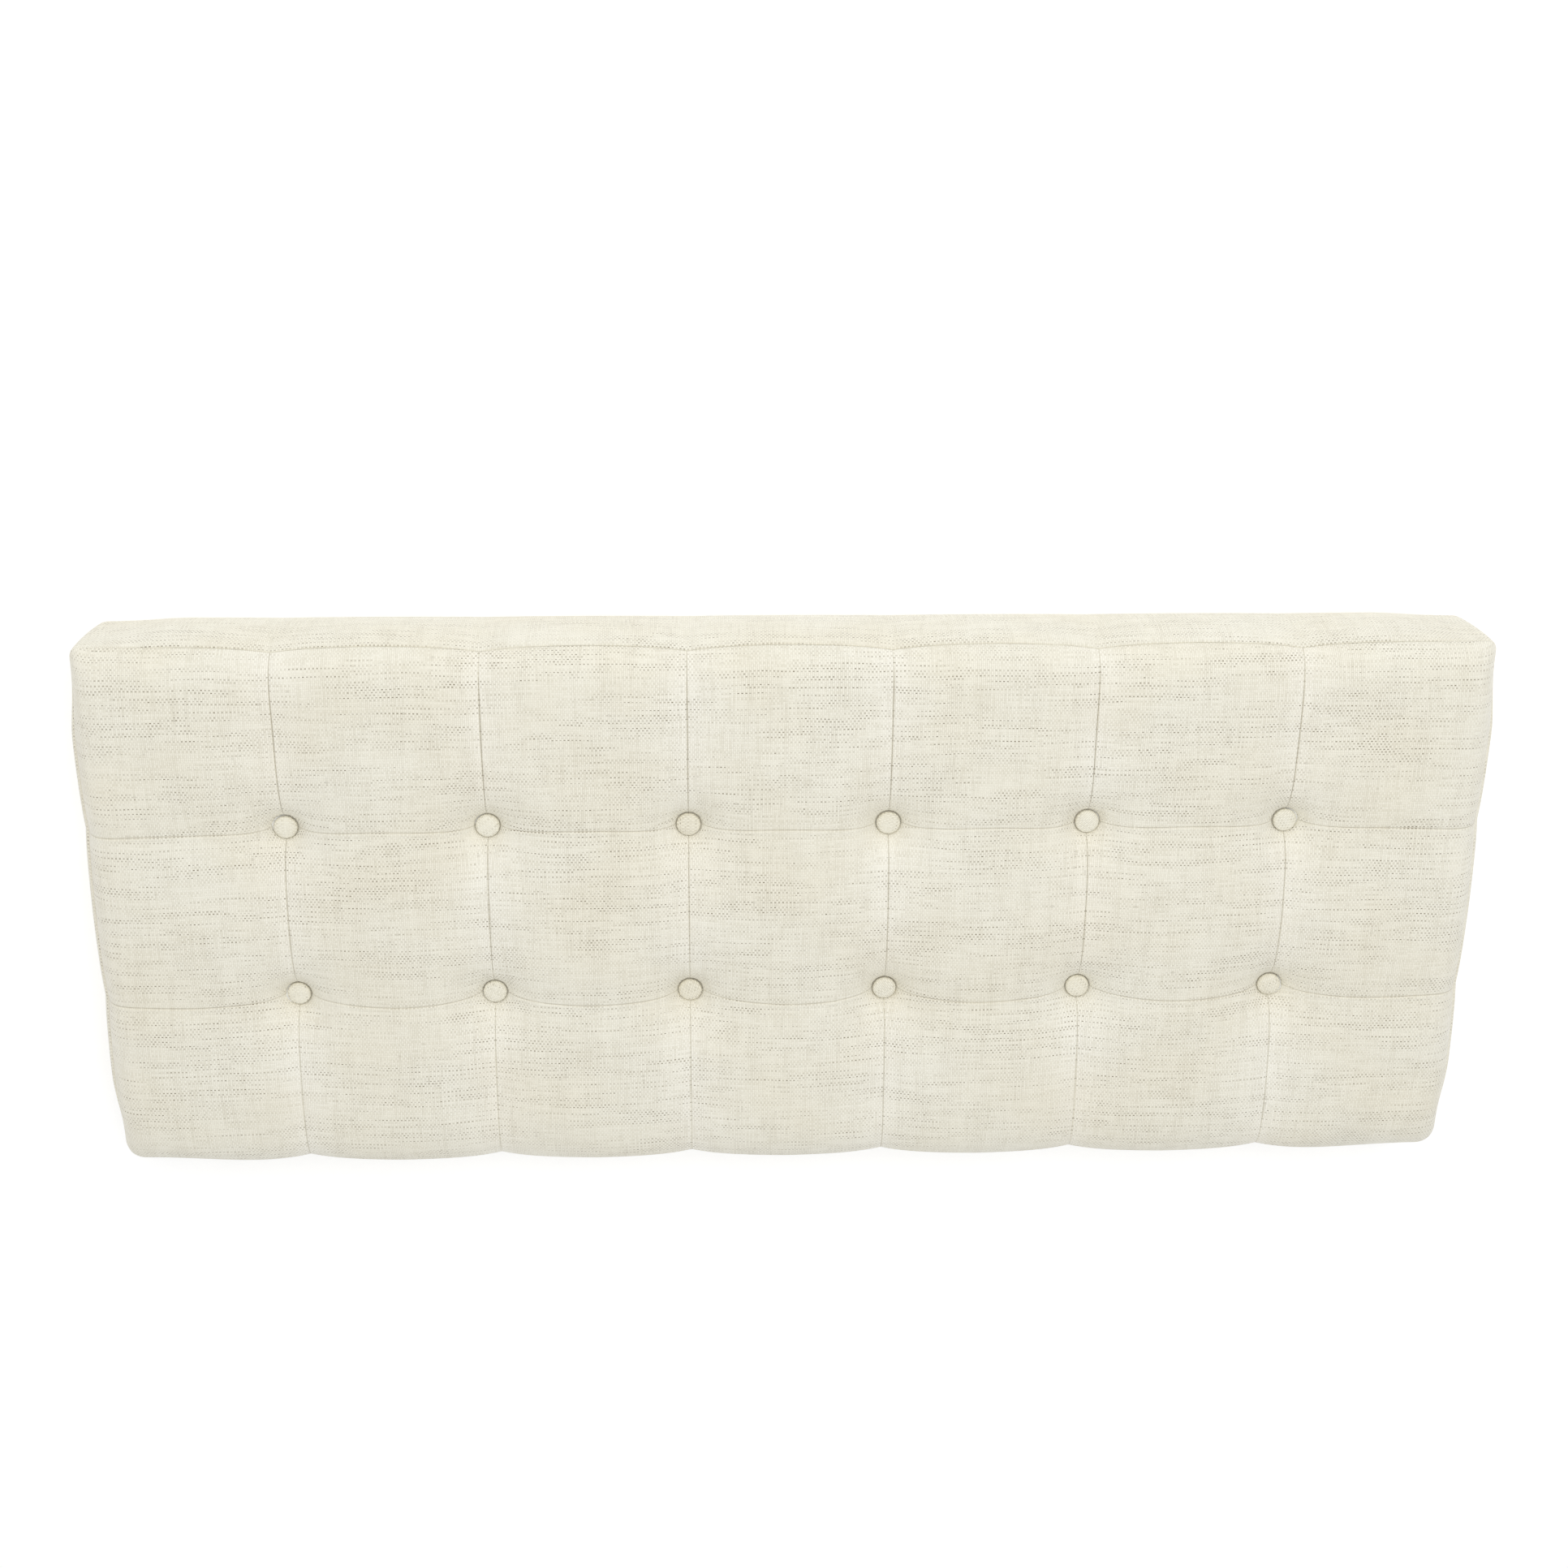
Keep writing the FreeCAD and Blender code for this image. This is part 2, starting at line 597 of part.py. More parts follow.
def stop_block(name, side, low, height):
    """A metal stop, clamped over the end of the chain on one side."""
    start = f"{COIL_LENGTH} / 2" if side > 0 else f"-{COIL_LENGTH} / 2 - Sizes.stop_length"
    half = "(Sizes.chain_thickness / 2 + Sizes.stop_overhang)"
    return box(name, start, f"{CHAIN_Y} - {half}", low, "Sizes.stop_length", f"2 * {half}", height)


UPPER_COIL = f"({ZIP_LEVEL} + Sizes.chain_gap / 2)"
LOWER_COIL = f"({ZIP_LEVEL} - Sizes.chain_width / 2)"
zip_tape_upper = zip_tape("zip_tape_upper", f"{ZIP_LEVEL} + Sizes.chain_width / 2")
zip_tape_lower = zip_tape("zip_tape_lower", f"{LOWER_COIL} - Sizes.tape_width")
zip_coil_upper = zip_coil("zip_coil_upper", UPPER_COIL)
zip_coil_lower = zip_coil("zip_coil_lower", LOWER_COIL)
zip_end_stop = stop_block("zip_end_stop", -1, LOWER_COIL, "Sizes.chain_width")
zip_top_stops = compound(
    "zip_top_stops",
    [
        stop_block("top_stop_upper", 1, UPPER_COIL, COIL_WIDTH),
        stop_block("top_stop_lower", 1, LOWER_COIL, COIL_WIDTH),
    ],
)

# The slider's two plates are joined by a web that runs between the coils.
SLIDER_DEPTH = f"(2 * {CHANNEL_HALF} + 2 * Sizes.slider_wall)"
CHANNEL_WIDTH = f"({COIL_WIDTH} + 2 * Sizes.zip_clearance)"
SLOT_HALF = "(Sizes.tape_thickness / 2 + Sizes.zip_clearance)"
FLANGE_WIDTH = "(Sizes.slider_width / 2 - Sizes.chain_width / 2)"


def slider_cuts(side, channel_low, slot_low):
    """The channel for one coil and the slot beside it for its tape."""
    channel = middle_box(
        f"channel_{side}",
        y=f"{CHAIN_Y} - {CHANNEL_HALF}",
        z=channel_low,
        length="Sizes.slider_length + 2 * Sizes.reach",
        depth=f"2 * {CHANNEL_HALF}",
        height=CHANNEL_WIDTH,
        x=SLIDER_X,
    )
    slot = middle_box(
        f"slot_{side}",
        y=f"{CHAIN_Y} - {SLOT_HALF}",
        z=slot_low,
        length="Sizes.slider_length + 2 * Sizes.reach",
        depth=f"2 * {SLOT_HALF}",
        height=f"{FLANGE_WIDTH} + Sizes.reach",
        x=SLIDER_X,
    )
    return [channel, slot]


slider_block = middle_box(
    "slider_block",
    y=f"{CHAIN_Y} - {SLIDER_DEPTH} / 2",
    z=f"{ZIP_LEVEL} - Sizes.slider_width / 2",
    length="Sizes.slider_length",
    depth=SLIDER_DEPTH,
    height="Sizes.slider_width",
    x=SLIDER_X,
)
doc.recompute()
slider_rounded = doc.addObject("Part::Fillet", "slider_rounded")
slider_rounded.Base = slider_block
slider_rounded.Edges = [
    (number, size("slider_corner"), size("slider_corner"))
    for number, edge in enumerate(slider_block.Shape.Edges, start=1)
    if abs(edge.tangentAt(edge.FirstParameter).y) > 0.5
]
channels = slider_cuts("upper", f"{UPPER_COIL} - Sizes.zip_clearance", f"{ZIP_LEVEL} + Sizes.chain_width / 2")
channels += slider_cuts(
    "lower",
    f"{LOWER_COIL} - Sizes.zip_clearance",
    f"{ZIP_LEVEL} - Sizes.slider_width / 2 - Sizes.reach",
)
slider_shell = cut_all("slider_shell", slider_rounded, channels)
bail_block = middle_box(
    "bail_block",
    y=PLATE_FACE,
    z=f"{ZIP_LEVEL} - Sizes.bail_width / 2",
    length="Sizes.bail_length",
    depth="Sizes.bail_height",
    height="Sizes.bail_width",
    x=SLIDER_X,
)
doc.recompute()
bail_rounded = doc.addObject("Part::Fillet", "bail_rounded")
bail_rounded.Base = bail_block
bail_top = bail_block.Shape.BoundBox.YMax
bail_rounded.Edges = [
    (number, size("bail_wall"), size("bail_wall"))
    for number, edge in enumerate(bail_block.Shape.Edges, start=1)
    if abs(edge.tangentAt(edge.FirstParameter).z) > 0.5 and edge.CenterOfMass.y > bail_top - 0.01
]
bail_space = middle_box(
    "bail_space",
    y=PLATE_FACE,
    z=f"{ZIP_LEVEL} - Sizes.slider_width / 2",
    length="Sizes.bail_length - 2 * Sizes.bail_wall",
    depth="Sizes.bail_height - Sizes.bail_wall",
    height="Sizes.slider_width",
    x=SLIDER_X,
)
bail = cut("bail", bail_rounded, bail_space)
zip_slider = fuse("zip_slider", [slider_shell, bail])

# The pull lies along the chain, and its end bar turns under the bail.
pull_plate = box(
    "pull_plate",
    f"{SLIDER_X} - Sizes.pull_length",
    f"{PULL_Y} - Sizes.pull_thickness / 2",
    f"{ZIP_LEVEL} - Sizes.pull_width / 2",
    "Sizes.pull_length",
    "Sizes.pull_thickness",
    "Sizes.pull_width",
)
doc.recompute()
free_end = pull_plate.Shape.BoundBox.XMin
pull_rounded = doc.addObject("Part::Fillet", "pull_rounded")
pull_rounded.Base = pull_plate
pull_rounded.Edges = [
    (number, size("pull_corner"), size("pull_corner"))
    for number, edge in enumerate(pull_plate.Shape.Edges, start=1)
    if abs(edge.tangentAt(edge.FirstParameter).y) > 0.5 and edge.CenterOfMass.x < free_end + 0.01
]
window = box(
    "window",
    f"{SLIDER_X} - Sizes.window_length",
    f"{PULL_Y} - Sizes.pull_thickness",
    f"{ZIP_LEVEL} - Sizes.window_width / 2",
    "Sizes.window_length + Sizes.reach",
    "2 * Sizes.pull_thickness",
    "Sizes.window_width",
)
pull_open = cut("pull_open", pull_rounded, window)
end_bar = cylinder(
    "end_bar",
    SLIDER_X,
    PULL_Y,
    f"{ZIP_LEVEL} - Sizes.pull_width / 2",
    "Sizes.bar_radius",
    "Sizes.pull_width",
)
zip_pull = fuse("zip_pull", [pull_open, end_bar])

# --- Checks and files -------------------------------------------------------------------

NODES = [
    top_panel,
    boxing_strip,
    rear_boxing_upper,
    rear_boxing_lower,
    bottom_panel,
    wadding_top,
    wadding_base,
    foam_core,
    zip_tape_upper,
    zip_tape_lower,
    zip_coil_upper,
    zip_coil_lower,
    zip_end_stop,
    zip_top_stops,
    zip_slider,
    zip_pull,
    button_back_plates,
    button_wire_eyes,
    *tuft_buttons,
    *tuft_twines,
    *anchor_buttons,
]

doc.recompute()
failed = [item.Name for item in doc.Objects if {"Invalid", "Error"} & set(item.State)]
if failed:
    raise RuntimeError(f"these objects failed: {failed}")
for node in NODES:
    if node.Shape.isNull() or not node.Shape.isValid() or not node.Shape.Solids:
        raise RuntimeError(f"{node.Name} has no valid solid")

os.makedirs("parts", exist_ok=True)
for node in NODES:
    node.Label = node.Name
    node.Shape.exportStep(f"parts/{node.Label}.step")
    print(f"{node.Label}: {len(node.Shape.Solids)} solid(s), {node.Shape.Volume / 1000:.2f} cm3")
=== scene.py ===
import math

import bpy
import numpy as np
from mathutils import Matrix, Vector


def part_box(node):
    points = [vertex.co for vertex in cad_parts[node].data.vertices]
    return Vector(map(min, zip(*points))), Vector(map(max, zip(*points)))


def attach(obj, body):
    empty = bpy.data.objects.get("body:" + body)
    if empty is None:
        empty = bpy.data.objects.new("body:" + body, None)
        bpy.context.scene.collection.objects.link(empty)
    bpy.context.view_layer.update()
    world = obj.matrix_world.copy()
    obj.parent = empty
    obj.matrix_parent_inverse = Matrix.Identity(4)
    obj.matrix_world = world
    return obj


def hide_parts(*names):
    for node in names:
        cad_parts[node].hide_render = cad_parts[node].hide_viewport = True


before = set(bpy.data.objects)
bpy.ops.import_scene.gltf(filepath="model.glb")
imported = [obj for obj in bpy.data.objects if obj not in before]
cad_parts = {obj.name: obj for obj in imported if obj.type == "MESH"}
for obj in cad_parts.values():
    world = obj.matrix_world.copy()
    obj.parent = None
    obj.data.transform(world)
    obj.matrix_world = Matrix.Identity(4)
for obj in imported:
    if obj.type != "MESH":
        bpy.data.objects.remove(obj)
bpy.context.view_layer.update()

# A button-tufted bench seat pad in a chunky linen-look weave. X runs along the seat, -Y is the
# front, Z is up. Lengths are in metres; MM turns millimetres into metres.
MM = 0.001
rng = np.random.default_rng(7)

# --- Places and sizes from the frame ---

PAD = "pad"
SPOTS = [f"r{row}c{column}" for row in (1, 2) for column in range(1, 7)]


def middle(node):
    """The middle of a CAD node's box."""
    low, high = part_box(node)
    return (low + high) / 2


BUTTONS = [(spot, middle(f"tuft_button_{spot}")) for spot in SPOTS]
COLUMN_X = sorted({round(centre.x, 5) for _, centre in BUTTONS})
ROW_Y = sorted({round(centre.y, 5) for _, centre in BUTTONS})
HALF_LENGTH, HALF_DEPTH, CROWN_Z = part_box("top_panel")[1]
SEAM_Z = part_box("boxing_strip")[1].z
button_low, button_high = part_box("tuft_button_r1c1")
SEAT_Z = button_low.z
BUTTON_RADIUS = (button_high.x - button_low.x) / 2
BUTTON_DOME = button_high.z - button_low.z
upper_low, upper_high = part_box("rear_boxing_upper")
REAR_HALF, UPPER_FOLD_Z = upper_high.x, upper_low.z
LOWER_FOLD_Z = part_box("rear_boxing_lower")[1].z
foam_low, foam_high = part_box("foam_core")
anchor_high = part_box("anchor_button_r1c1")[1]
HOLLOW_Z, ANCHOR_RADIUS = anchor_high.z, anchor_high.x - middle("anchor_button_r1c1").x

COVER_THICKNESS = 1.2 * MM

# --- Materials ---


class Nodes:
    """Builds the node tree of one material from plain calls."""

    def __init__(self, name):
        self.material = bpy.data.materials.new(name)
        self.material.use_nodes = True
        self.tree = self.material.node_tree
        self.shader = self.tree.nodes["Principled BSDF"]

    def add(self, kind, inputs=(), **settings):
        """Adds a node, sets its settings and its inputs, which are numbers or other sockets."""
        node = self.tree.nodes.new(kind)
        for name, value in settings.items():
            setattr(node, name, value)
        for name, value in dict(inputs).items():
            self.feed(node.inputs[name], value)
        return node

    def feed(self, socket, value):
        if isinstance(value, bpy.types.NodeSocket):
            self.tree.links.new(value, socket)
        else:
            socket.default_value = value

    def math(self, operation, first, second=0.0, third=0.0):
        inputs = {0: first, 1: second, 2: third}
        return self.add("ShaderNodeMath", inputs, operation=operation).outputs[0]

    def times(self, first, second):
        return self.math("MULTIPLY", first, second)

    def scaled(self, value, scale, start):
        return self.math("MULTIPLY_ADD", value, scale, start)

    def rest(self, value):
        """What is left of 1."""
        return self.math("SUBTRACT", 1.0, value)

    def fade(self, value, low, high):
        """0 below low, 1 above high, smooth between."""
        inputs = {"Value": value, "From Min": low, "From Max": high}
        node = self.add("ShaderNodeMapRange", inputs, interpolation_type="SMOOTHSTEP")
        return node.outputs["Result"]

    def point(self, x, y, z=0.0):
        return self.add("ShaderNodeCombineXYZ", {"X": x, "Y": y, "Z": z}).outputs[0]

    def parts(self, vector):
        return self.add("ShaderNodeSeparateXYZ", {0: vector}).outputs

    def place(self):
        """The point itself, in the frame's metres."""
        return self.add("ShaderNodeTexCoord").outputs["Object"]

    def noise(self, where, scale=1.0, detail=2.0, roughness=0.5):
        inputs = {"Vector": where, "Scale": scale, "Detail": detail, "Roughness": roughness}
        return self.add("ShaderNodeTexNoise", inputs).outputs["Fac"]

    def drawn_out(self, x, x_scale, y, y_scale, **look):
        """Noise over two coordinates, each with its own scale."""
        return self.noise(self.point(self.times(x, x_scale), self.times(y, y_scale)), **look)

    def mix(self, amount, first, second, **settings):
        inputs = {"Factor": amount, "A": first, "B": second}
        return self.add("ShaderNodeMix", inputs, **settings).outputs["Result"]

    def blend(self, amount, first, second, kind="MIX"):
        """Mixes two colours."""
        return self.mix(amount, first, second, data_type="RGBA", blend_type=kind)

    def finish(self, colour, roughness, bump=None, depth=1 * MM, **sockets):
        self.feed(self.shader.inputs["Base Color"], colour)
        self.feed(self.shader.inputs["Roughness"], roughness)
        for name, value in sockets.items():
            self.shader.inputs[name.replace("_", " ")].default_value = value
        if bump is not None:
            node = self.add("ShaderNodeBump", {"Height": bump, "Distance": depth, "Strength": 1.0})
            self.feed(self.shader.inputs["Normal"], node.outputs["Normal"])
        return self.material


WARP_PITCH, WEFT_PITCH = 1.69 * MM, 2.35 * MM
YARN_RELIEF = 0.18 * MM
WANDER_SCALE, WANDER = 17, 1.6  # the yarns wander sideways, in pitches
FLECK_ALONG, FLECK_SHARE = 13, (0.44, 0.6)  # runs of dark weft: how long, and how many
DOT_WIDTH, DOT_HEIGHT = (0.0, 0.4), (0.7, 0.97)
STRIPE_SHARE, LINE_SHARE = 0.36, 0.1  # of the gaps between warps, in patches and everywhere
WIDE_TINT = (0.975, 0.96, 0.93, 1)
IVORY = (0.82, 0.79, 0.67, 1)
PALE = (0.915, 0.89, 0.775, 1)
TAUPE = (0.21, 0.175, 0.12, 1)
# Colour of the painted shade in the gaps between yarns.
SHADE = (0.50, 0.455, 0.36, 1)
# Colour of the painted shade down in the seams.
SEAM_SHADE = (0.30, 0.25, 0.18, 1)
PAINTED_LIGHT_TINT = (1.085, 1.09, 1.135, 1)  # painted light: how much paler the cloth is painted beside the seams, at the ends and behind the buttons


def woven(name, fleck_share=1.0):
    """A plain weave of uneven yarns, with streaks of dark dots where thin dark wefts surface."""
    n = Nodes(name)
    cloth = n.add("ShaderNodeUVMap", uv_map="cloth").outputs[0]
    along, across, _ = n.parts(cloth)
    wander = n.scaled(n.noise(cloth, scale=WANDER_SCALE), WANDER, -WANDER / 2)
    u = n.scaled(along, 1 / WARP_PITCH, wander)
    v = n.scaled(across, 1 / WEFT_PITCH, wander)
    warp_number, weft_number = n.math("FLOOR", u), n.math("FLOOR", v)
    weft_over = n.math("FLOORED_MODULO", n.math("ADD", warp_number, weft_number), 2.0)
    warp_over = n.rest(weft_over)
    round_u = n.math("SINE", n.times(n.math("FRACT", u), math.pi))
    round_v = n.math("SINE", n.times(n.math("FRACT", v), math.pi))

    # Each yarn swells and thins, and changes tone, along its length. Steps like 7.31 set the
    # noise of one yarn apart from the next one's.
    weft_size = n.drawn_out(along, 34, weft_number, 7.31, detail=3, roughness=0.6)
    warp_size = n.drawn_out(warp_number, 5.17, across, 26, detail=3, roughness=0.6)

    def yarn(across_it, along_it, size):
        """Height of a yarn where it passes over: round across, arched along."""
        arch = n.scaled(along_it, 0.35, 0.4)
        body = n.math("POWER", across_it, 0.6)
        return n.times(n.times(body, arch), n.math("ADD", size, 0.75))

    weft = yarn(round_v, round_u, weft_size)
    warp = yarn(round_u, round_v, warp_size)
    height = n.mix(weft_over, warp, weft)
    tone = n.mix(weft_over, warp_size, weft_size)
    tone = n.math("SUBTRACT", tone, n.times(weft_over, 0.05))
    colour = n.blend(n.fade(tone, 0.3, 0.56), IVORY, PALE)
    # Painted shade where the yarns lie low, in the gaps between them.
    open_gap = n.rest(n.fade(height, 0.12, 0.55))
    colour = n.blend(n.times(open_gap, 0.2), colour, SHADE)

    # Here and there the gaps between warps show as fine lines of painted shade.
    warp_gap = n.rest(n.fade(round_u, 0.0, 0.55))
    stripe = n.fade(n.drawn_out(along, 70, across, 11), 0.4, 0.65)
    line = n.times(warp_gap, n.scaled(stripe, STRIPE_SHARE, LINE_SHARE))
    colour = n.blend(line, colour, SHADE)

    # Dark dots: a thin dark weft lies in some rows for a few centimetres, and shows at each float.
    streak = n.drawn_out(along, FLECK_ALONG, weft_number, 3.77, detail=3, roughness=0.55)
    streak = n.fade(streak, *FLECK_SHARE)
    patch = n.fade(n.drawn_out(along, 7, across, 30, detail=1), 0.22, 0.55)
    streak = n.scaled(n.times(streak, patch), 0.9, 0.1)
    cell = n.add("ShaderNodeTexWhiteNoise", {"Vector": n.point(warp_number, weft_number)})
    chance = n.scaled(cell.outputs["Value"], 0.7, 0.3)
    dot = n.times(n.fade(round_u, *DOT_WIDTH), n.fade(round_v, *DOT_HEIGHT))
    dot = n.times(n.times(dot, weft_over), n.times(streak, chance))
    # A few warps are flecked too.
    tick = n.drawn_out(warp_number, 2.93, across, 40, detail=4, roughness=0.7)
    tick = n.fade(tick, 0.6, 0.75)
    tick = n.times(n.times(tick, warp_over), 0.3)
    fleck = n.times(n.math("MAXIMUM", dot, tick), fleck_share)
    colour = n.blend(fleck, colour, TAUPE)

    # Wide, faint changes of tone, painted light that makes the cloth paler, and painted shade down in
    # the seams.
    wide = n.noise(cloth, scale=9)
    colour = n.blend(n.fade(wide, 0.3, 0.75), colour, WIDE_TINT, kind="MULTIPLY")
    # The seam attribute: above 0 painted shade in the seams and under the button rims, below 0 painted
    # light. The noise makes the shade uneven along the seams, like stitches.
    seam = n.add("ShaderNodeAttribute", attribute_name="seam").outputs["Fac"]
    uneven = n.scaled(n.noise(n.place(), scale=320, detail=1), 1.5, 0.25)
    painted_light = n.math("MAXIMUM", n.times(seam, -1.0), 0.0)
    colour = n.blend(painted_light, colour, PAINTED_LIGHT_TINT, kind="MULTIPLY")
    colour = n.blend(n.times(n.math("MAXIMUM", seam, 0.0), uneven), colour, SEAM_SHADE)
    return n.finish(colour, 0.92, height, YARN_RELIEF, Sheen_Weight=0.2, Sheen_Roughness=0.5)


def speckled(name, light, dark, grain, roughness, depth, **sockets):
    """A material whose tone, roughness and relief vary finely, such as metal or moulded plastic."""
    n = Nodes(name)
    fine = n.noise(n.place(), scale=grain, detail=4, roughness=0.6)
    broad = n.noise(n.place(), scale=grain / 25)
    tone = n.fade(n.scaled(fine, 0.5, n.times(broad, 0.5)), 0.35, 0.65)
    rough = n.mix(tone, roughness * 0.8, roughness * 1.2)
    return n.finish(n.blend(tone, dark, light), rough, fine, depth, **sockets)


SCRATCHES_ALONG, SCRATCHES_ACROSS = 300, 6000


def brushed(name, light, dark, roughness):
    """Metal with fine scratches along X."""
    n = Nodes(name)
    x, y, z = n.parts(n.place())
    across = [n.times(part, SCRATCHES_ACROSS) for part in (y, z)]
    stretched = n.point(n.times(x, SCRATCHES_ALONG), *across)
    scratch = n.noise(stretched, detail=3, roughness=0.7)
    worn = n.fade(n.noise(n.place(), scale=350), 0.4, 0.7)
    dull = n.scaled(scratch, 0.5, n.times(worn, 0.5))
    rough = n.mix(dull, roughness, roughness * 1.7)
    return n.finish(n.blend(worn, light, dark), rough, scratch, 0.02 * MM, Metallic=1.0)


def twill(name, light, dark, pitch):
    """A fine tape: diagonal ribs of close threads."""
    n = Nodes(name)
    x, _, z = n.parts(n.place())
    rib = n.times(n.math("ADD", x, z), math.tau / pitch)
    thread = n.times(n.math("SUBTRACT", x, z), math.tau / pitch * 1.7)
    wave = n.scaled(n.math("SINE", rib), 0.35, n.times(n.math("SINE", thread), 0.15))
    height = n.math("ADD", wave, 0.5)
    uneven = n.noise(n.place(), scale=900, detail=3)
    # Partly random tone, partly painted shade: the tape is darker where its ribs lie low.
    tone = n.fade(n.scaled(uneven, 0.6, n.times(height, 0.4)), 0.3, 0.75)
    return n.finish(n.blend(tone, dark, light), 0.85, height, 0.12 * MM, Sheen_Weight=0.15)


def twisted(name, light, dark, pitch):
    """Twine: strands wound round its length."""
    n = Nodes(name)
    x, y, z = n.parts(n.place())
    along = n.math("ADD", n.math("ADD", x, y), n.times(z, 0.8))
    wind = n.times(along, math.tau / pitch)
    height = n.scaled(n.math("SINE", wind), 0.5, 0.5)
    fuzz = n.noise(n.place(), scale=2500, detail=3)
    # Partly random fuzz, partly painted shade: darker in the grooves between the strands.
    tone = n.scaled(fuzz, 0.4, n.times(height, 0.6))
    return n.finish(n.blend(tone, dark, light), 0.9, height, 0.2 * MM)


def porous(name, light, dark, cell, depth):
    """Foam or wadding: small open cells or matted fibres."""
    n = Nodes(name)
    cells = n.add("ShaderNodeTexVoronoi", {"Vector": n.place(), "Scale": 1 / cell})
    cells = cells.outputs["Distance"]
    drift = n.noise(n.place(), scale=30, detail=3)
    tone = n.scaled(cells, 0.6, n.times(drift, 0.4))
    return n.finish(n.blend(tone, light, dark), 0.95, cells, depth)


cover_weave = woven("cover_weave")
button_weave = woven("button_weave", fleck_share=0.6)
tape_twill = twill("zip_tape_twill", (0.84, 0.81, 0.72, 1), (0.66, 0.62, 0.52, 1), 0.9 * MM)
coil_nylon = speckled(
    "coil_nylon", (0.86, 0.83, 0.74, 1), (0.74, 0.70, 0.60, 1), 2500, 0.38, 0.02 * MM, Coat_Weight=0.15
)
zip_metal = brushed("zip_metal", (0.72, 0.71, 0.69, 1), (0.50, 0.49, 0.47, 1), 0.24)
button_steel = speckled(
    "button_steel", (0.62, 0.62, 0.61, 1), (0.44, 0.44, 0.43, 1), 1200, 0.36, 0.03 * MM, Metallic=1.0
)
twine_twist = twisted("twine_twist", (0.86, 0.83, 0.75, 1), (0.58, 0.53, 0.43, 1), 1.3 * MM)
anchor_plastic = speckled(
    "anchor_plastic", (0.88, 0.87, 0.83, 1), (0.80, 0.79, 0.74, 1), 700, 0.42, 0.04 * MM, Coat_Weight=0.1
)
thread_cotton = twisted("thread_cotton", (0.90, 0.88, 0.80, 1), (0.62, 0.57, 0.46, 1), 0.5 * MM)
foam_cells = porous("foam_cells", (0.86, 0.79, 0.58, 1), (0.62, 0.54, 0.34, 1), 1.1 * MM, 0.3 * MM)
wadding_fibre = porous("wadding_fibre", (0.93, 0.93, 0.91, 1), (0.78, 0.78, 0.76, 1), 2.4 * MM, 0.6 * MM)

NODE_MATERIALS = {
    "zip_tape": tape_twill,
    "zip_end_stop": zip_metal,
    "zip_top_stops": zip_metal,
    "zip_slider": zip_metal,
    "zip_pull": zip_metal,
    "button_back_plates": button_steel,
    "button_wire_eyes": button_steel,
    "tuft_twine": twine_twist,
    "anchor_button": anchor_plastic,
}
for name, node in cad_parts.items():
    for start, material in NODE_MATERIALS.items():
        if name.startswith(start):
            node.data.materials.clear()
            node.data.materials.append(material)

# --- Mesh helpers ---

INNER_STEP = 4  # the hidden inner surface of a cover has every fourth line of its outer surface


def smooth(value):
    """0 below 0, 1 above 1, smooth between."""
    value = np.clip(value, 0, 1)
    return value * value * (3 - 2 * value)


def bell(value, width):
    """1 at 0, falling away on both sides."""
    return np.exp(-((value / width) ** 2))


def fall(distance, run):
    """1 at 0, falling away with distance."""
    return np.exp(-distance / run)


def add_object(name, data):
    item = bpy.data.objects.new(name, data)
    bpy.context.scene.collection.objects.link(item)
    return item


def new_piece(name, points, faces, material, cloth=None, seam=None):
    """A smooth mesh piece of the pad.

    cloth is the place on the cloth of each face corner, seam a painted shade for each point, or below 0
    a painted light.
    """
    mesh = bpy.data.meshes.new(name)
    mesh.from_pydata(np.asarray(points, float).tolist(), [], faces)
    if cloth is not None:
        layer = mesh.uv_layers.new(name="cloth")
        layer.data.foreach_set("uv", np.asarray(cloth, np.float32).ravel())
    if seam is not None:
        shade = mesh.attributes.new("seam", "FLOAT", "POINT")
        shade.data.foreach_set("value", np.asarray(seam, np.float32).ravel())
    mesh.materials.append(material)
    mesh.polygons.foreach_set("use_smooth", [True] * len(mesh.polygons))
    mesh.update()
    piece = add_object(name, mesh)
    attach(piece, PAD)
    return piece


def grid_faces(rows, columns, start=0):
    """Quads of a grid of points, rows by columns, numbered row by row."""
    first = (np.arange(rows - 1)[:, None] * columns + np.arange(columns - 1)).ravel() + start
    return np.stack([first, first + 1, first + columns + 1, first + columns], axis=1).tolist()


def tube_faces(rings, sides):
    """Faces of a tube of rings of points, numbered ring by ring, with a cap at each end."""
    side = np.arange(sides)
    here = np.arange(rings - 1)[:, None] * sides + side
    there = np.arange(rings - 1)[:, None] * sides + (side + 1) % sides
    walls = np.stack([here, there, there + sides, here + sides], axis=-1).reshape(-1, 4)
    return [*walls.tolist(), side[::-1].tolist(), ((rings - 1) * sides + side).tolist()]


def grid_border(rows, columns):
    """Point numbers round a grid, in the direction of its faces, starting and ending at point 0."""
    numbers = np.arange(rows * columns).reshape(rows, columns)
    sides = [numbers[0, :-1], numbers[:-1, -1], numbers[-1, :0:-1], numbers[::-1, 0]]
    return np.concatenate(sides)


def normals_of(grid):
    """Unit normals of a grid of points."""
    normals = np.cross(np.gradient(grid, axis=1), np.gradient(grid, axis=0))
    return normals / np.maximum(np.linalg.norm(normals, axis=2, keepdims=True), 1e-12)


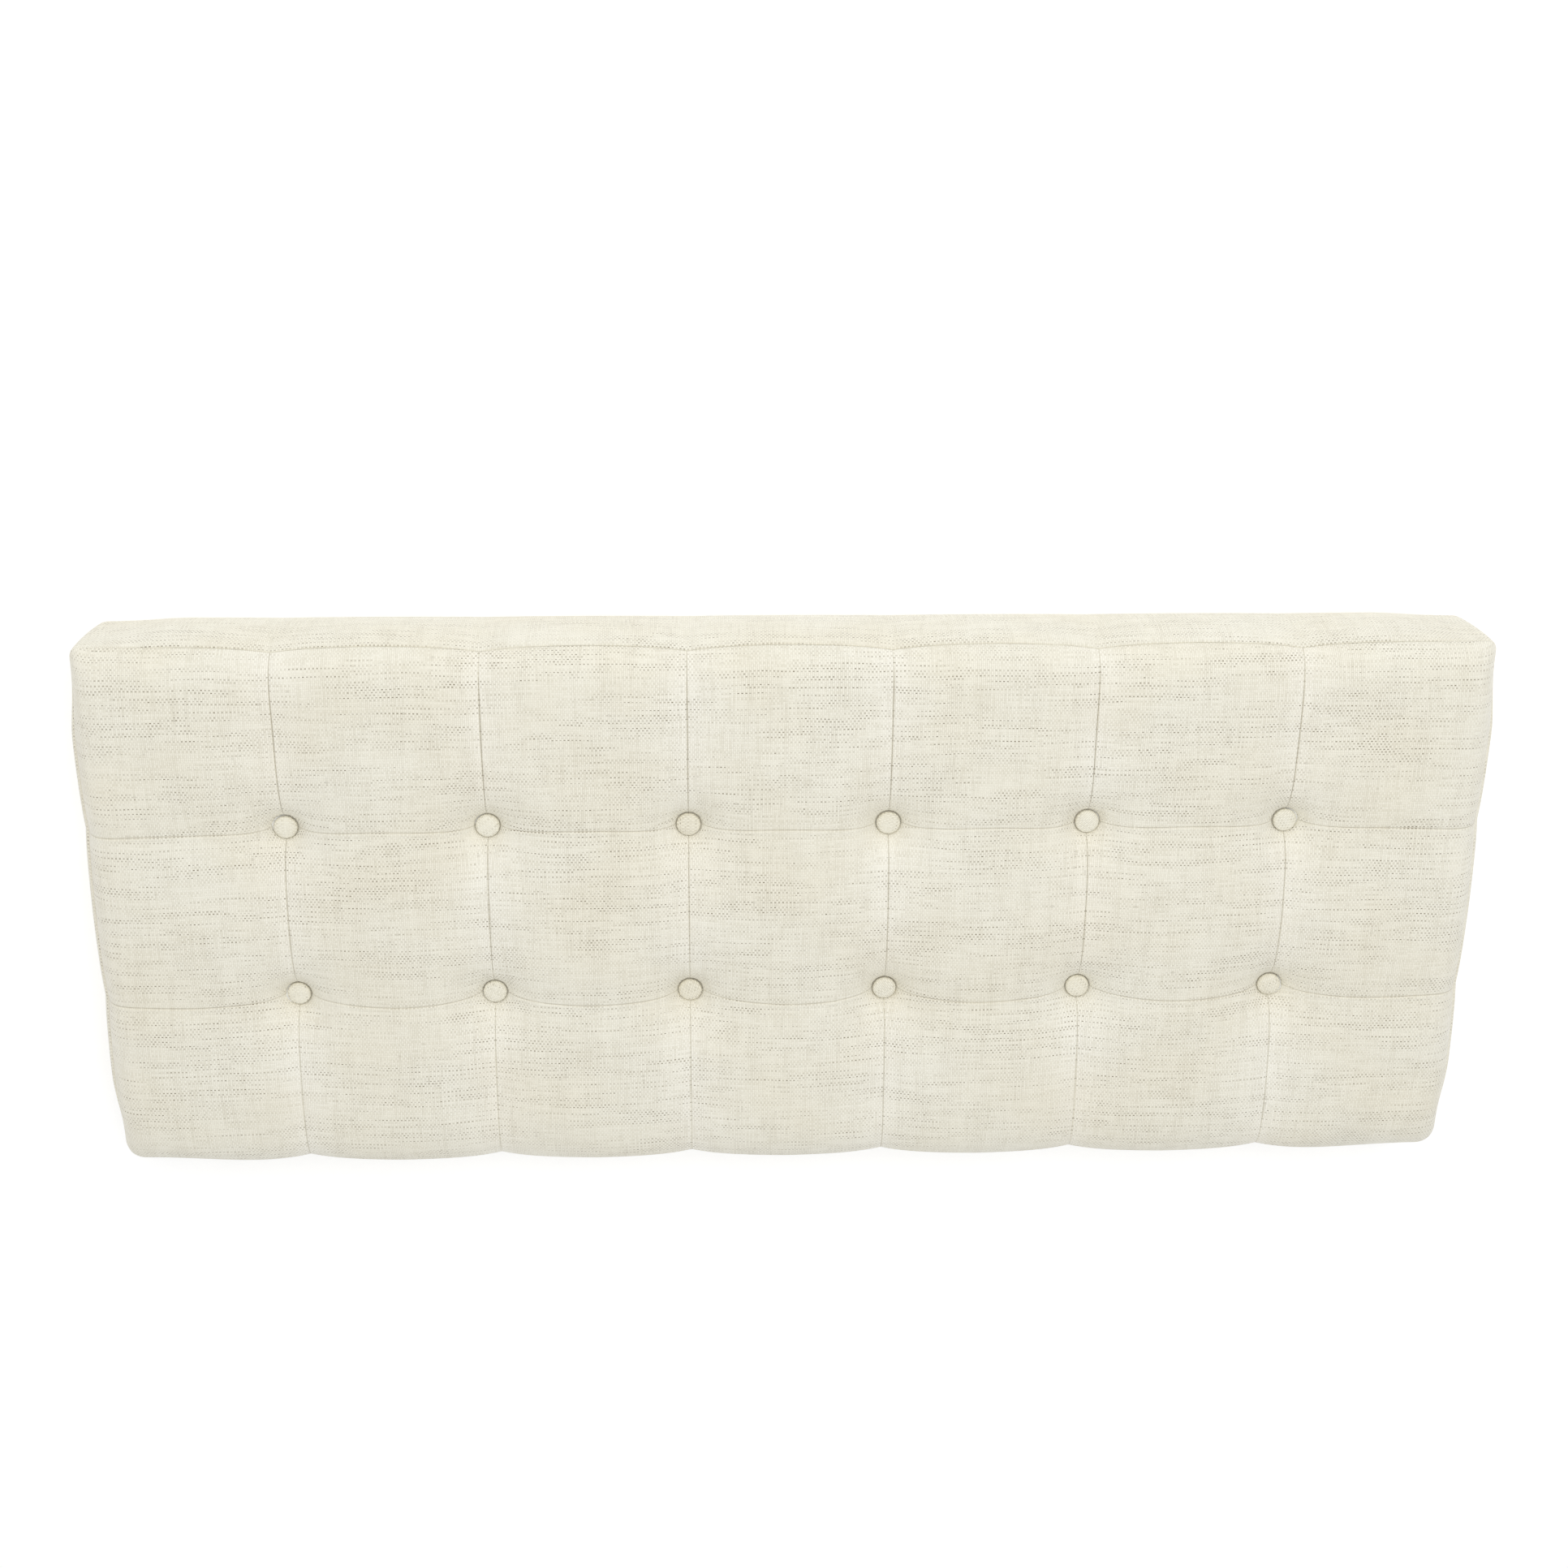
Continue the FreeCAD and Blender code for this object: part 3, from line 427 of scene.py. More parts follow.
def cloth_panel(name, outer, corners, seam, ceiling=None):
    """A closed panel of cloth: a fine outer surface, a coarser inner one and the edge between them.

    outer is a grid of points, corners the place on the cloth of each face corner of it, seam the painted
    shade of each point, or below 0 its painted light. The inner surface is held below ceiling, a height
    for each point, if given.
    """
    rows, columns = outer.shape[:2]
    inner = outer[::INNER_STEP, ::INNER_STEP]
    inner = inner - COVER_THICKNESS * normals_of(inner)
    if ceiling is not None:
        inner[..., 2] = np.minimum(inner[..., 2], ceiling[::INNER_STEP, ::INNER_STEP])
    inner_rows, inner_columns = inner.shape[:2]
    start = rows * columns
    faces = grid_faces(rows, columns)
    inner_faces = [face[::-1] for face in grid_faces(inner_rows, inner_columns, start)]
    border = grid_border(rows, columns).tolist()
    inner_border = (grid_border(inner_rows, inner_columns) + start).tolist()
    rim = []
    for k in range(len(inner_border) - 1):
        outside = border[k * INNER_STEP : (k + 1) * INNER_STEP + 1]
        rim.append(outside[::-1] + inner_border[k : k + 2])

    # The hidden faces take the places on the cloth of the outer points over them.
    on_cloth = np.zeros((rows, columns, 2))
    on_cloth[:-1, :-1], on_cloth[:-1, 1:] = corners[:, :, 0], corners[:, :, 1]
    on_cloth[1:, 1:], on_cloth[1:, :-1] = corners[:, :, 2], corners[:, :, 3]
    under = on_cloth[::INNER_STEP, ::INNER_STEP].reshape(-1, 2)
    all_cloth = np.concatenate([on_cloth.reshape(-1, 2), under])
    hidden = [index for face in inner_faces + rim for index in face]
    cloth = np.concatenate([corners.reshape(-1, 2), all_cloth[hidden]])
    points = np.concatenate([outer.reshape(-1, 3), inner.reshape(-1, 3)])
    shades = np.concatenate([np.ravel(seam), np.zeros(inner_rows * inner_columns)])
    return new_piece(name, points, faces + inner_faces + rim, cover_weave, cloth, shades)


def arc_from_middle(points, axis, stops):
    """Lengths along the grid lines of a surface, measured in each cell from the cell's middle."""
    steps = np.linalg.norm(np.diff(points, axis=axis), axis=2)
    zero = np.zeros_like(np.take(steps, [0], axis=axis))
    run = np.concatenate([zero, np.cumsum(steps, axis=axis)], axis=axis)
    spans = []
    for start, end in zip(stops[:-1], stops[1:]):
        centre = np.take(run, [(start + end) // 2], axis=axis)
        spans.append(np.take(run, range(start, end + 1), axis=axis) - centre)
    return spans


def at_corners(values):
    """The values of a grid's points at the four corners of each face."""
    low, high = values[:-1], values[1:]
    return np.stack([low[:, :-1], low[:, 1:], high[:, 1:], high[:, :-1]], axis=-1)


def cloth_corners(along, across, origins_x, origins_y):
    """Place on the cloth of each face corner of a grid whose cells are separate stretches."""
    u = [at_corners(origin + span) for origin, span in zip(origins_x, along)]
    v = [at_corners(origin + span) for origin, span in zip(origins_y, across)]
    return np.stack([np.concatenate(u, axis=1), np.concatenate(v)], axis=-1)


def plain_cloth(grid, origin):
    """Place on the cloth of each face corner of a grid that is one stretch of cloth."""
    along = arc_from_middle(grid, 1, [0, grid.shape[1] - 1])
    across = arc_from_middle(grid, 0, [0, grid.shape[0] - 1])
    return cloth_corners(along, across, [origin[0]], [origin[1]])


# --- The tufted face ---

# How fast the face rises from the seam round it.
FRONT_SHOULDER, REAR_SHOULDER, SIDE_SHOULDER = 9.5 * MM, 15 * MM, 7.5 * MM
COLUMN_VALLEY, ROW_VALLEY, VALLEY_RUN = 6 * MM, 4.2 * MM, 26 * MM  # along the pull seams
COLUMN_CREASE, ROW_CREASE, CREASE_RUN = 1.8 * MM, 0.9 * MM, 0.4 * MM  # the seam in its bottom
# How deep the column seams are drawn: at the front edge, how soon fully, and what goes by the rear.
EDGE_TIGHTNESS, FULLY_TIGHT, TIGHTNESS_LOST = 0.4, 45 * MM, 0.6
ROW_RIDGE, RIDGE_PLACE, RIDGE_RUN = 0.7 * MM, 1.8 * MM, 1.2 * MM  # fold beside a row seam
DIMPLE_RUN, DIMPLE_POWER = 16 * MM, 0.85  # hollow round a button
TRENCH_DEPTH, RING_PLACE, TRENCH_RUN = 1.3 * MM, -0.3 * MM, 0.55 * MM  # gap under its rim
SEAT_DROP = 0.4 * MM
PLEATS, PLEAT_DEPTH, PLEAT_START, PLEAT_RUN = 11, 0.35 * MM, 2 * MM, 14 * MM
# The pull seams draw the edge in.
FRONT_SCALLOP, REAR_SCALLOP, SIDE_SCALLOP = 5.5 * MM, 8 * MM, 3 * MM
SCALLOP_RUN, SCALLOP_REACH = 30 * MM, 45 * MM
FRONT_OUT, REAR_OUT, SIDE_OUT = 5.5 * MM, 9.5 * MM, 3.5 * MM  # the filling pushes the edge out
REAR_CORNER_OUT = 3.5 * MM
CALM, REAR_CALM, SIDE_CALM = 20 * MM, 120 * MM, 60 * MM  # near a corner it pushes less
ROW_BOW, ROW_BOW_REACH = 4 * MM, 60 * MM  # row seams bow away from the middle of the pad
END_BOW = 0.5  # share of it beyond the last button
GROOVE_IN, GROOVE_DOWN, GROOVE_RUN = 0.3 * MM, 0.25 * MM, 0.5 * MM  # the seam round the face
FACE_CORNER, FACE_REAR_CORNER = 8 * MM, 17 * MM
BASE_CORNER = 13 * MM
WAVES, WAVE_HEIGHT = 24, 0.55 * MM  # slow unevenness of the filling
# The painted shade down in the seams, how wide it is, and the painted light beside them.
COLUMN_SHADE, COLUMN_SHADE_WIDTH = 0.55, 0.34 * MM
ROW_SHADE, ROW_SHADE_WIDTH = 0.34, 0.4 * MM
# Painted shade along the rear seam of the face.
REAR_SHADE, EDGE_SHADE_WIDTH, REAR_BAND = 0.4, 0.6 * MM, 2 * MM
# Painted shadow round each button's rim, darker on its front side, where the front light leaves it in
# shade.
RIM_SHADE, RIM_FRONT_SHADE, RIM_SHADE_WIDTH = 0.25, 0.4, 0.45 * MM
# Painted light: the cloth is painted paler beside the column seams, at the pad's ends and behind each
# button.
COLUMN_PAINTED_LIGHT, END_PAINTED_LIGHT, BUTTON_PAINTED_LIGHT, PAINTED_LIGHT_RUN = 0.75, 0.5, 0.7, 17 * MM
FAINT = 0.03  # the faintest shade of a seam

# Grid lines from a seam to the middle of a cell: close at the seam and at the button's rim.
NEAR_SEAM = np.array([0, 0.4, 0.9, 1.6, 2.6, 4, 6, 8.5]) * MM
NEAR_RIM = BUTTON_RADIUS + np.array([-0.6, 0, 0.5, 1.1, 1.9, 3, 4.6, 6.8, 9.5, 13, 17]) * MM
HALF_CELL_LINES = 28


def half_cell(length):
    """Distances of the grid lines from a seam, as far as length."""
    near = np.concatenate([NEAR_SEAM, NEAR_RIM])
    far = np.linspace(near[-1], length, HALF_CELL_LINES + 2 - len(near))[1:]
    return np.concatenate([near, far])


def lines_between(stops):
    """Grid lines through the seams at stops."""
    lines = [np.array([stops[0]])]
    for start, end in zip(stops[:-1], stops[1:]):
        half = half_cell((end - start) / 2)
        lines += [start + half[1:], end - half[-2::-1]]
    return np.concatenate(lines)


X_STOPS = [-HALF_LENGTH, *COLUMN_X, HALF_LENGTH]
Y_STOPS = [-HALF_DEPTH, *ROW_Y, HALF_DEPTH]
x_lines = lines_between(X_STOPS)
y_lines = lines_between(Y_STOPS)
column_stops = [2 * HALF_CELL_LINES * i for i in range(len(X_STOPS))]
row_stops = [2 * HALF_CELL_LINES * j for j in range(len(Y_STOPS))]
wave_turns = rng.uniform(0, math.pi, WAVES)
wave_lengths = rng.uniform(55, 170, WAVES) * MM
wave_starts = rng.uniform(0, math.tau, WAVES)
pleat_starts = {spot: rng.uniform(0, math.tau) for spot in SPOTS}


def nearest(values, stops):
    """Distance from each value to the nearest of the stops."""
    return np.min([np.abs(values - stop) for stop in stops], axis=0)


def from_edges(x, y):
    """Distances inward from the pad's ends, and from its front or rear."""
    return HALF_LENGTH - np.abs(x), HALF_DEPTH - np.abs(y)


def round_corner(x, y, radius):
    """Moves points of the pad's rectangle so that its corners are round."""
    px = np.clip((np.abs(x) - (HALF_LENGTH - radius)) / radius, 0, 1)
    py = np.clip((np.abs(y) - (HALF_DEPTH - radius)) / radius, 0, 1)
    new_x = np.where(px > 0, HALF_LENGTH - radius + radius * px * np.sqrt(1 - py**2 / 2), np.abs(x))
    new_y = np.where(py > 0, HALF_DEPTH - radius + radius * py * np.sqrt(1 - px**2 / 2), np.abs(y))
    return np.sign(x) * new_x, np.sign(y) * new_y


RING_FULL, RING_NONE = 17 * MM, 38 * MM  # circles within the first, squares past the second


def round_rings(x, y):
    """Turns the squares of grid lines round each button into circles."""
    for _, centre in BUTTONS:
        away_x, away_y = x - centre.x, y - centre.y
        reach = np.maximum(np.abs(away_x), np.abs(away_y))
        squeeze = reach / np.maximum(np.hypot(away_x, away_y), 1e-9)
        hold = 1 - smooth((reach - RING_FULL) / (RING_NONE - RING_FULL))
        scale = 1 + (squeeze - 1) * hold
        x, y = centre.x + away_x * scale, centre.y + away_y * scale
    return x, y


def row_bow(x):
    """How far a row seam bows out between two buttons, from 0 to 1."""
    inner = np.abs(x) <= COLUMN_X[-1]
    pitch = COLUMN_X[1] - COLUMN_X[0]
    waves = np.sin(math.pi * (x - COLUMN_X[0]) / pitch) ** 2
    outer = np.sin(math.pi * (np.abs(x) - COLUMN_X[-1]) / (HALF_LENGTH - COLUMN_X[-1])) ** 2
    return np.where(inner, waves, END_BOW * outer)


def face_plan(x, y):
    """Where a point of the pad's rectangle goes, from above."""
    near_x, near_y = nearest(x, COLUMN_X), nearest(y, ROW_Y)
    edge_x, edge_y = from_edges(x, y)
    new_x, new_y = round_corner(x, y, np.where(y > 0, FACE_REAR_CORNER, FACE_CORNER))
    from_corner = smooth((edge_x - CALM) / REAR_CALM)
    rear_out = REAR_CORNER_OUT + (REAR_OUT - REAR_CORNER_OUT) * from_corner
    out_y = np.where(y > 0, rear_out, FRONT_OUT)
    out_y = out_y - np.where(y > 0, REAR_SCALLOP, FRONT_SCALLOP) * fall(near_x, SCALLOP_RUN)
    out_x = SIDE_OUT * smooth((edge_y - CALM) / SIDE_CALM)
    out_x = out_x - SIDE_SCALLOP * fall(near_y, SCALLOP_RUN)
    new_y = new_y + np.sign(y) * out_y * fall(edge_y, SCALLOP_REACH)
    new_x = new_x + np.sign(x) * out_x * fall(edge_x, SCALLOP_REACH)
    for row in ROW_Y:
        bow = np.sign(row) * ROW_BOW * row_bow(x)
        new_y = new_y + bow * fall(np.abs(y - row), ROW_BOW_REACH)
    return new_x, new_y


def unevenness(x, y):
    """Slow random rise and fall of the filling."""
    total = 0 * x
    for turn, length, start in zip(wave_turns, wave_lengths, wave_starts):
        run = x * math.cos(turn) + y * math.sin(turn)
        total = total + np.sin(math.tau * run / length + start)
    return total * WAVE_HEIGHT / math.sqrt(WAVES / 2)


def column_tightness(y):
    """How deep the column seams are drawn: most near the front, least at the back."""
    start = EDGE_TIGHTNESS + (1 - EDGE_TIGHTNESS) * smooth((y + HALF_DEPTH) / FULLY_TIGHT)
    return start * (1 - TIGHTNESS_LOST * smooth((y / HALF_DEPTH + 1) / 2))


def face_height(x, y):
    """Height of the tufted face over a point of the pad's rectangle."""
    edge_x, edge_y = from_edges(x, y)
    run_y = np.where(y > 0, REAR_SHOULDER, FRONT_SHOULDER)
    shoulder = (1 - fall(edge_x, SIDE_SHOULDER)) * (1 - fall(edge_y, run_y))
    near_x, near_y = nearest(x, COLUMN_X), nearest(y, ROW_Y)
    valley = COLUMN_VALLEY * fall(near_x, VALLEY_RUN) + ROW_VALLEY * fall(near_y, VALLEY_RUN)
    crease = COLUMN_CREASE * column_tightness(y) * fall(near_x, CREASE_RUN)
    crease = crease + ROW_CREASE * fall(near_y, CREASE_RUN)
    for row in ROW_Y:
        crease = crease - ROW_RIDGE * bell(y - row - RIDGE_PLACE, RIDGE_RUN)
    height = SEAM_Z + (CROWN_Z - SEAM_Z - valley - crease + unevenness(x, y)) * shoulder
    for spot, centre in BUTTONS:
        out_x, out_y = x - centre.x, y - centre.y
        away = np.hypot(out_x, out_y) - BUTTON_RADIUS
        outside = np.maximum(away, 0)
        rise = 1 - np.exp(-((outside / DIMPLE_RUN) ** DIMPLE_POWER))
        pleat = np.cos(PLEATS * np.arctan2(out_y, out_x) + pleat_starts[spot])
        pleat = pleat * PLEAT_DEPTH * smooth(outside / PLEAT_START) * fall(outside, PLEAT_RUN)
        trench = TRENCH_DEPTH * bell(away - RING_PLACE, TRENCH_RUN)
        height = SEAT_Z - SEAT_DROP * (1 - rise) + (height - SEAT_Z) * rise + pleat - trench
    return height


def face_points(x, y):
    """The face over points of the pad's rectangle, drawn in at the seam round it."""
    new_x, new_y = face_plan(x, y)
    drawn_x, drawn_y = (fall(edge, GROOVE_RUN) for edge in from_edges(x, y))
    new_x = new_x - np.sign(x) * GROOVE_IN * drawn_x
    new_y = new_y - np.sign(y) * GROOVE_IN * drawn_y
    height = face_height(x, y) - GROOVE_DOWN * np.maximum(drawn_x, drawn_y)
    return np.stack([new_x, new_y, height], axis=-1)


def face_shade(x, y):
    """Painted shade of a point of the face in a seam or round a button, 0 to 1, or minus the painted
    light there.
    """
    near_x, near_y = nearest(x, COLUMN_X), nearest(y, ROW_Y)
    edge_x, edge_y = from_edges(x, y)
    # Painted shade down in the column and row seams.
    column = COLUMN_SHADE * column_tightness(y) * bell(near_x, COLUMN_SHADE_WIDTH)
    row = ROW_SHADE * bell(near_y, ROW_SHADE_WIDTH)
    # Painted shade along the rear seam.
    depth = np.where(y > HALF_DEPTH - REAR_BAND, REAR_SHADE, 0.0)
    edge = depth * bell(np.minimum(edge_x, edge_y), EDGE_SHADE_WIDTH)
    shade = np.maximum(np.maximum(column, row), edge)
    # Painted light beside the column seams and at the pad's ends.
    painted_light = COLUMN_PAINTED_LIGHT * fall(near_x, PAINTED_LIGHT_RUN)
    painted_light = np.maximum(painted_light, END_PAINTED_LIGHT * fall(edge_x, PAINTED_LIGHT_RUN))
    for _, centre in BUTTONS:
        out_x, out_y = x - centre.x, y - centre.y
        away = np.hypot(out_x, out_y)
        in_front = smooth(0.5 - 0.6 * out_y / np.maximum(away, MM))  # 0 behind the button
        # Painted shadow round the rim, darker on the button's front side.
        rim = bell(away - BUTTON_RADIUS - RING_PLACE, RIM_SHADE_WIDTH)
        shade = np.maximum(shade, (RIM_SHADE + RIM_FRONT_SHADE * in_front) * rim)
        # Painted light on the cloth close behind the button.
        close = fall(np.maximum(away - BUTTON_RADIUS, 0), PAINTED_LIGHT_RUN)
        painted_light = painted_light * (1 - close) + BUTTON_PAINTED_LIGHT * (1 - in_front) * close
    return np.where(shade > FAINT, shade, -painted_light * (1 - shade / FAINT))


def sample(field, field_x, field_y, x, y):
    """Reads a field on a grid of lines at other points, linearly."""
    i = np.clip(np.searchsorted(field_x, x, side="right") - 1, 0, len(field_x) - 2)
    j = np.clip(np.searchsorted(field_y, y, side="right") - 1, 0, len(field_y) - 2)
    part_x = np.clip((x - field_x[i]) / (field_x[i + 1] - field_x[i]), 0, 1)
    part_y = np.clip((y - field_y[j]) / (field_y[j + 1] - field_y[j]), 0, 1)
    near = field[j, i] * (1 - part_x) + field[j, i + 1] * part_x
    far = field[j + 1, i] * (1 - part_x) + field[j + 1, i + 1] * part_x
    return near * (1 - part_y) + far * part_y


def face_cloth(x, y):
    """Place on the cloth of each face corner: the weave runs straight under the rings of lines."""
    straight = face_points(*np.meshgrid(x_lines, y_lines))
    along, across = [], []
    arcs = arc_from_middle(straight, 1, column_stops)
    for arc, left, right in zip(arcs, column_stops, column_stops[1:]):
        own = slice(left, right + 1)
        along.append(sample(arc, x_lines[own], y_lines, x[:, own], y[:, own]))
    arcs = arc_from_middle(straight, 0, row_stops)
    for arc, low, high in zip(arcs, row_stops, row_stops[1:]):
        own = slice(low, high + 1)
        across.append(sample(arc, x_lines, y_lines[own], x[own], y[own]))
    origins = [[(a + b) / 2 for a, b in zip(stops, stops[1:])] for stops in (X_STOPS, Y_STOPS)]
    return cloth_corners(along, across, *origins)


UNDER_FACE = 0.5 * MM  # the least gap from the face's top to its inner surface


def lowest_nearby(heights, reach=3):
    """The lowest height within a few grid lines of each point."""
    for axis in (0, 1):
        padded = np.pad(heights, [(reach, reach) if k == axis else (0, 0) for k in (0, 1)], "edge")
        size = heights.shape[axis]
        spans = [np.take(padded, range(k, k + size), axis=axis) for k in range(2 * reach + 1)]
        heights = np.min(spans, axis=0)
    return heights


grid_x, grid_y = round_rings(*np.meshgrid(x_lines, y_lines))
face_grid = face_points(grid_x, grid_y)
under_face = lowest_nearby(face_grid[..., 2]) - UNDER_FACE
tufted_face = cloth_panel(
    "tufted_face",
    face_grid,
    face_cloth(grid_x, grid_y),
    face_shade(grid_x, grid_y),
    ceiling=under_face,
)
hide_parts("top_panel")

# --- Boxing: the strip round the front and sides, and the two rear layers that hold the zip ---

BASE_Z = 2.5 * MM
BOXING_BULGE, REAR_BULGE, BULGE_POWER = 8.5 * MM, 2.2 * MM, 0.45
CORNER_BULGE, BULGE_START, BULGE_RUN = 0.1, 10 * MM, 80 * MM  # share at a corner, growing away
BASE_GROOVE = 0.9 * MM
END_GROOVE = 1.2 * MM  # where the strip joins the rear layers
BOXING_LINES, BASE_EVERY = 32, 2  # the base has every second line of the face
# Painted shade along the seam at the base.
BASE_SHADE, BASE_SHADE_WIDTH = 0.25, 0.6 * MM
REAR_EASE = 60 * MM  # over which the strip's shape turns into the rear layers' shape
STITCH_INSET = 6.5 * MM  # of the zip's stitching from the folds
STITCH_DIP = 0.3 * MM
HEM_LINES = np.array([3, 7, 10.6]) * MM  # from the fold, down behind the layer


def boxing_bulge(height, rear):
    """How far the boxing stands out: one swell, and at the rear one on each side of the zip."""
    share = (SEAM_Z - height) / (SEAM_Z - BASE_Z)
    single = BOXING_BULGE * np.sin(math.pi * np.clip(share, 0, 1)) ** BULGE_POWER
    above = np.clip((SEAM_Z - height) / (SEAM_Z - UPPER_FOLD_Z), 0, 1)
    below = np.clip((LOWER_FOLD_Z - height) / (LOWER_FOLD_Z - BASE_Z), 0, 1)
    double = REAR_BULGE * (np.sin(math.pi * above) + np.sin(math.pi * below))
    return single * (1 - rear) + double * rear


def boxing_surface(x, y, outward, rear, height):
    """The boxing at given heights (rows) below points of the pad's outline (columns)."""
    seam = face_points(x, y)
    top_x, top_y = face_plan(x, y)
    base_x, base_y = round_corner(x, y, BASE_CORNER)
    height = height[:, None] + 0 * x
    share = (SEAM_Z - height) / (SEAM_Z - BASE_Z)
    fold_share = (SEAM_Z - height) / (SEAM_Z - UPPER_FOLD_Z)
    ease = (1 - rear) * share**1.5 + rear * smooth(fold_share)
    draw_top = fall(SEAM_Z - height, GROOVE_RUN)
    draw_base = BASE_GROOVE * fall(height - BASE_Z, GROOVE_RUN)
    on_rear = smooth((y - HALF_DEPTH) / MM + 1)
    draw_end = END_GROOVE * on_rear * fall(np.abs(np.abs(x) - REAR_HALF), GROOVE_RUN)
    away = smooth((np.hypot(*from_edges(x, y)) - BULGE_START) / BULGE_RUN)
    swell = np.maximum(rear, CORNER_BULGE + (1 - CORNER_BULGE) * away)
    out = boxing_bulge(height, rear) * swell - draw_base - draw_end
    points = []
    for axis, (top, base) in enumerate([(top_x, base_x), (top_y, base_y)]):
        side = top + (base - top) * ease + outward[:, axis] * out
        points.append(side + (seam[:, axis] - top) * draw_top)
    points.append(height + (seam[:, 2] - SEAM_Z) * draw_top)
    return np.stack(points, axis=-1)


def boxing_shade(x, height):
    """Painted shade of a point of the boxing, along the seam at its base."""
    base = BASE_SHADE * bell(height - BASE_Z, BASE_SHADE_WIDTH)
    return base[:, None] + 0 * x


def outward_of(x, y):
    """Unit vectors out of the pad's outline, for points that run anticlockwise from above."""
    base_x, base_y = round_corner(x, y, BASE_CORNER)
    step_x, step_y = np.gradient(base_x), np.gradient(base_y)
    length = np.maximum(np.hypot(step_x, step_y), 1e-9)
    return np.stack([step_y / length, -step_x / length], axis=1)


def strip_outline():
    """The outline under the strip, from the rear's -X end round the front to the rear's +X end."""
    rear_x = REAR_HALF + half_cell(HALF_LENGTH - REAR_HALF)
    rear_y = np.full(len(rear_x) - 1, HALF_DEPTH)
    side_x = np.full(len(y_lines) - 1, HALF_LENGTH)
    front_y = np.full(len(x_lines) - 1, -HALF_DEPTH)
    x = np.concatenate([-rear_x[:-1], -side_x, x_lines[:-1], side_x, rear_x[::-1]])
    y = np.concatenate([rear_y, y_lines[:0:-1], front_y, y_lines[:-1], rear_y, [HALF_DEPTH]])
    return x, y


def make_boxing_strip():
    x, y = strip_outline()
    rear = smooth((y - HALF_DEPTH + REAR_EASE) / REAR_EASE)
    share = (1 - np.cos(math.pi * np.arange(BOXING_LINES + 1) / BOXING_LINES)) / 2
    height = (SEAM_Z + (BASE_Z - SEAM_Z) * share)[::-1]
    grid = boxing_surface(x, y, outward_of(x, y), rear, height)
    shade = boxing_shade(x, height)
    strip = cloth_panel("boxing_strip_cloth", grid, plain_cloth(grid, (0, 1)), shade)
    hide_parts("boxing_strip")


def rear_levels(seam_z, fold_z):
    """Heights of the grid lines from a seam to a fold, close at the seam and at the stitching."""
    toward = math.copysign(1, fold_z - seam_z)
    stitch = abs(fold_z - seam_z) - STITCH_INSET
    middle_part = np.linspace(4 * MM, stitch - 2 * MM, 8)
    at_stitch = stitch + np.array([-0.8, 0, 0.8, 2.4]) * MM
    end = abs(fold_z - seam_z) - COVER_THICKNESS
    levels = np.concatenate([NEAR_SEAM[:5], middle_part, at_stitch, [end]])
    return seam_z + toward * levels


def rear_layer(node, seam_z, fold_z, origin):
    """One rear layer: from its seam to a fold beside the zip, and back behind itself as a hem."""
    toward = math.copysign(1, fold_z - seam_z)
    x = lines_between([-REAR_HALF, *COLUMN_X, REAR_HALF])[::-1]
    y = np.full(len(x), HALF_DEPTH)
    outward = np.stack([0 * x, 0 * x + 1], axis=1)
    levels = rear_levels(seam_z, fold_z)
    outside = boxing_surface(x, y, outward, 0 * x + 1, levels)
    stitch_z = fold_z - toward * STITCH_INSET
    outside[..., 1] -= (STITCH_DIP * fall(np.abs(levels - stitch_z), MM))[:, None]
    last = outside[-1]
    turns = np.linspace(0, math.pi, 9)[1:]
    fold = np.repeat(last[None], len(turns), axis=0)
    fold[..., 1] -= (COVER_THICKNESS * (1 - np.cos(turns)))[:, None]
    fold[..., 2] += (toward * COVER_THICKNESS * np.sin(turns))[:, None]
    hem = np.repeat(fold[-1][None], len(HEM_LINES), axis=0)
    hem[..., 2] -= (toward * HEM_LINES)[:, None]
    grid = np.concatenate([outside, fold, hem])
    shade = boxing_shade(x, levels)
    shade = np.concatenate([shade, np.zeros((len(grid) - len(levels), len(x)))])
    if toward < 0:
        grid, shade = grid[::-1], shade[::-1]
    layer = cloth_panel(f"{node}_cloth", grid, plain_cloth(grid, origin), shade)
    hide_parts(node)
    return stitch_z, outside[int(np.argmin(np.abs(levels - stitch_z))), :, 1].max()


make_boxing_strip()
upper_stitch = rear_layer("rear_boxing_upper", SEAM_Z, UPPER_FOLD_Z, (2, 1))
lower_stitch = rear_layer("rear_boxing_lower", BASE_Z, LOWER_FOLD_Z, (2, 2))

STITCH_LENGTH, STITCH_PITCH, STITCH_RADIUS = 2.5 * MM, 3.3 * MM, 0.28 * MM
STITCH_SINK, STITCH_OUT, STITCH_LEAN = 0.45 * MM, 0.12 * MM, 0.05
STITCH_SIDES = 6


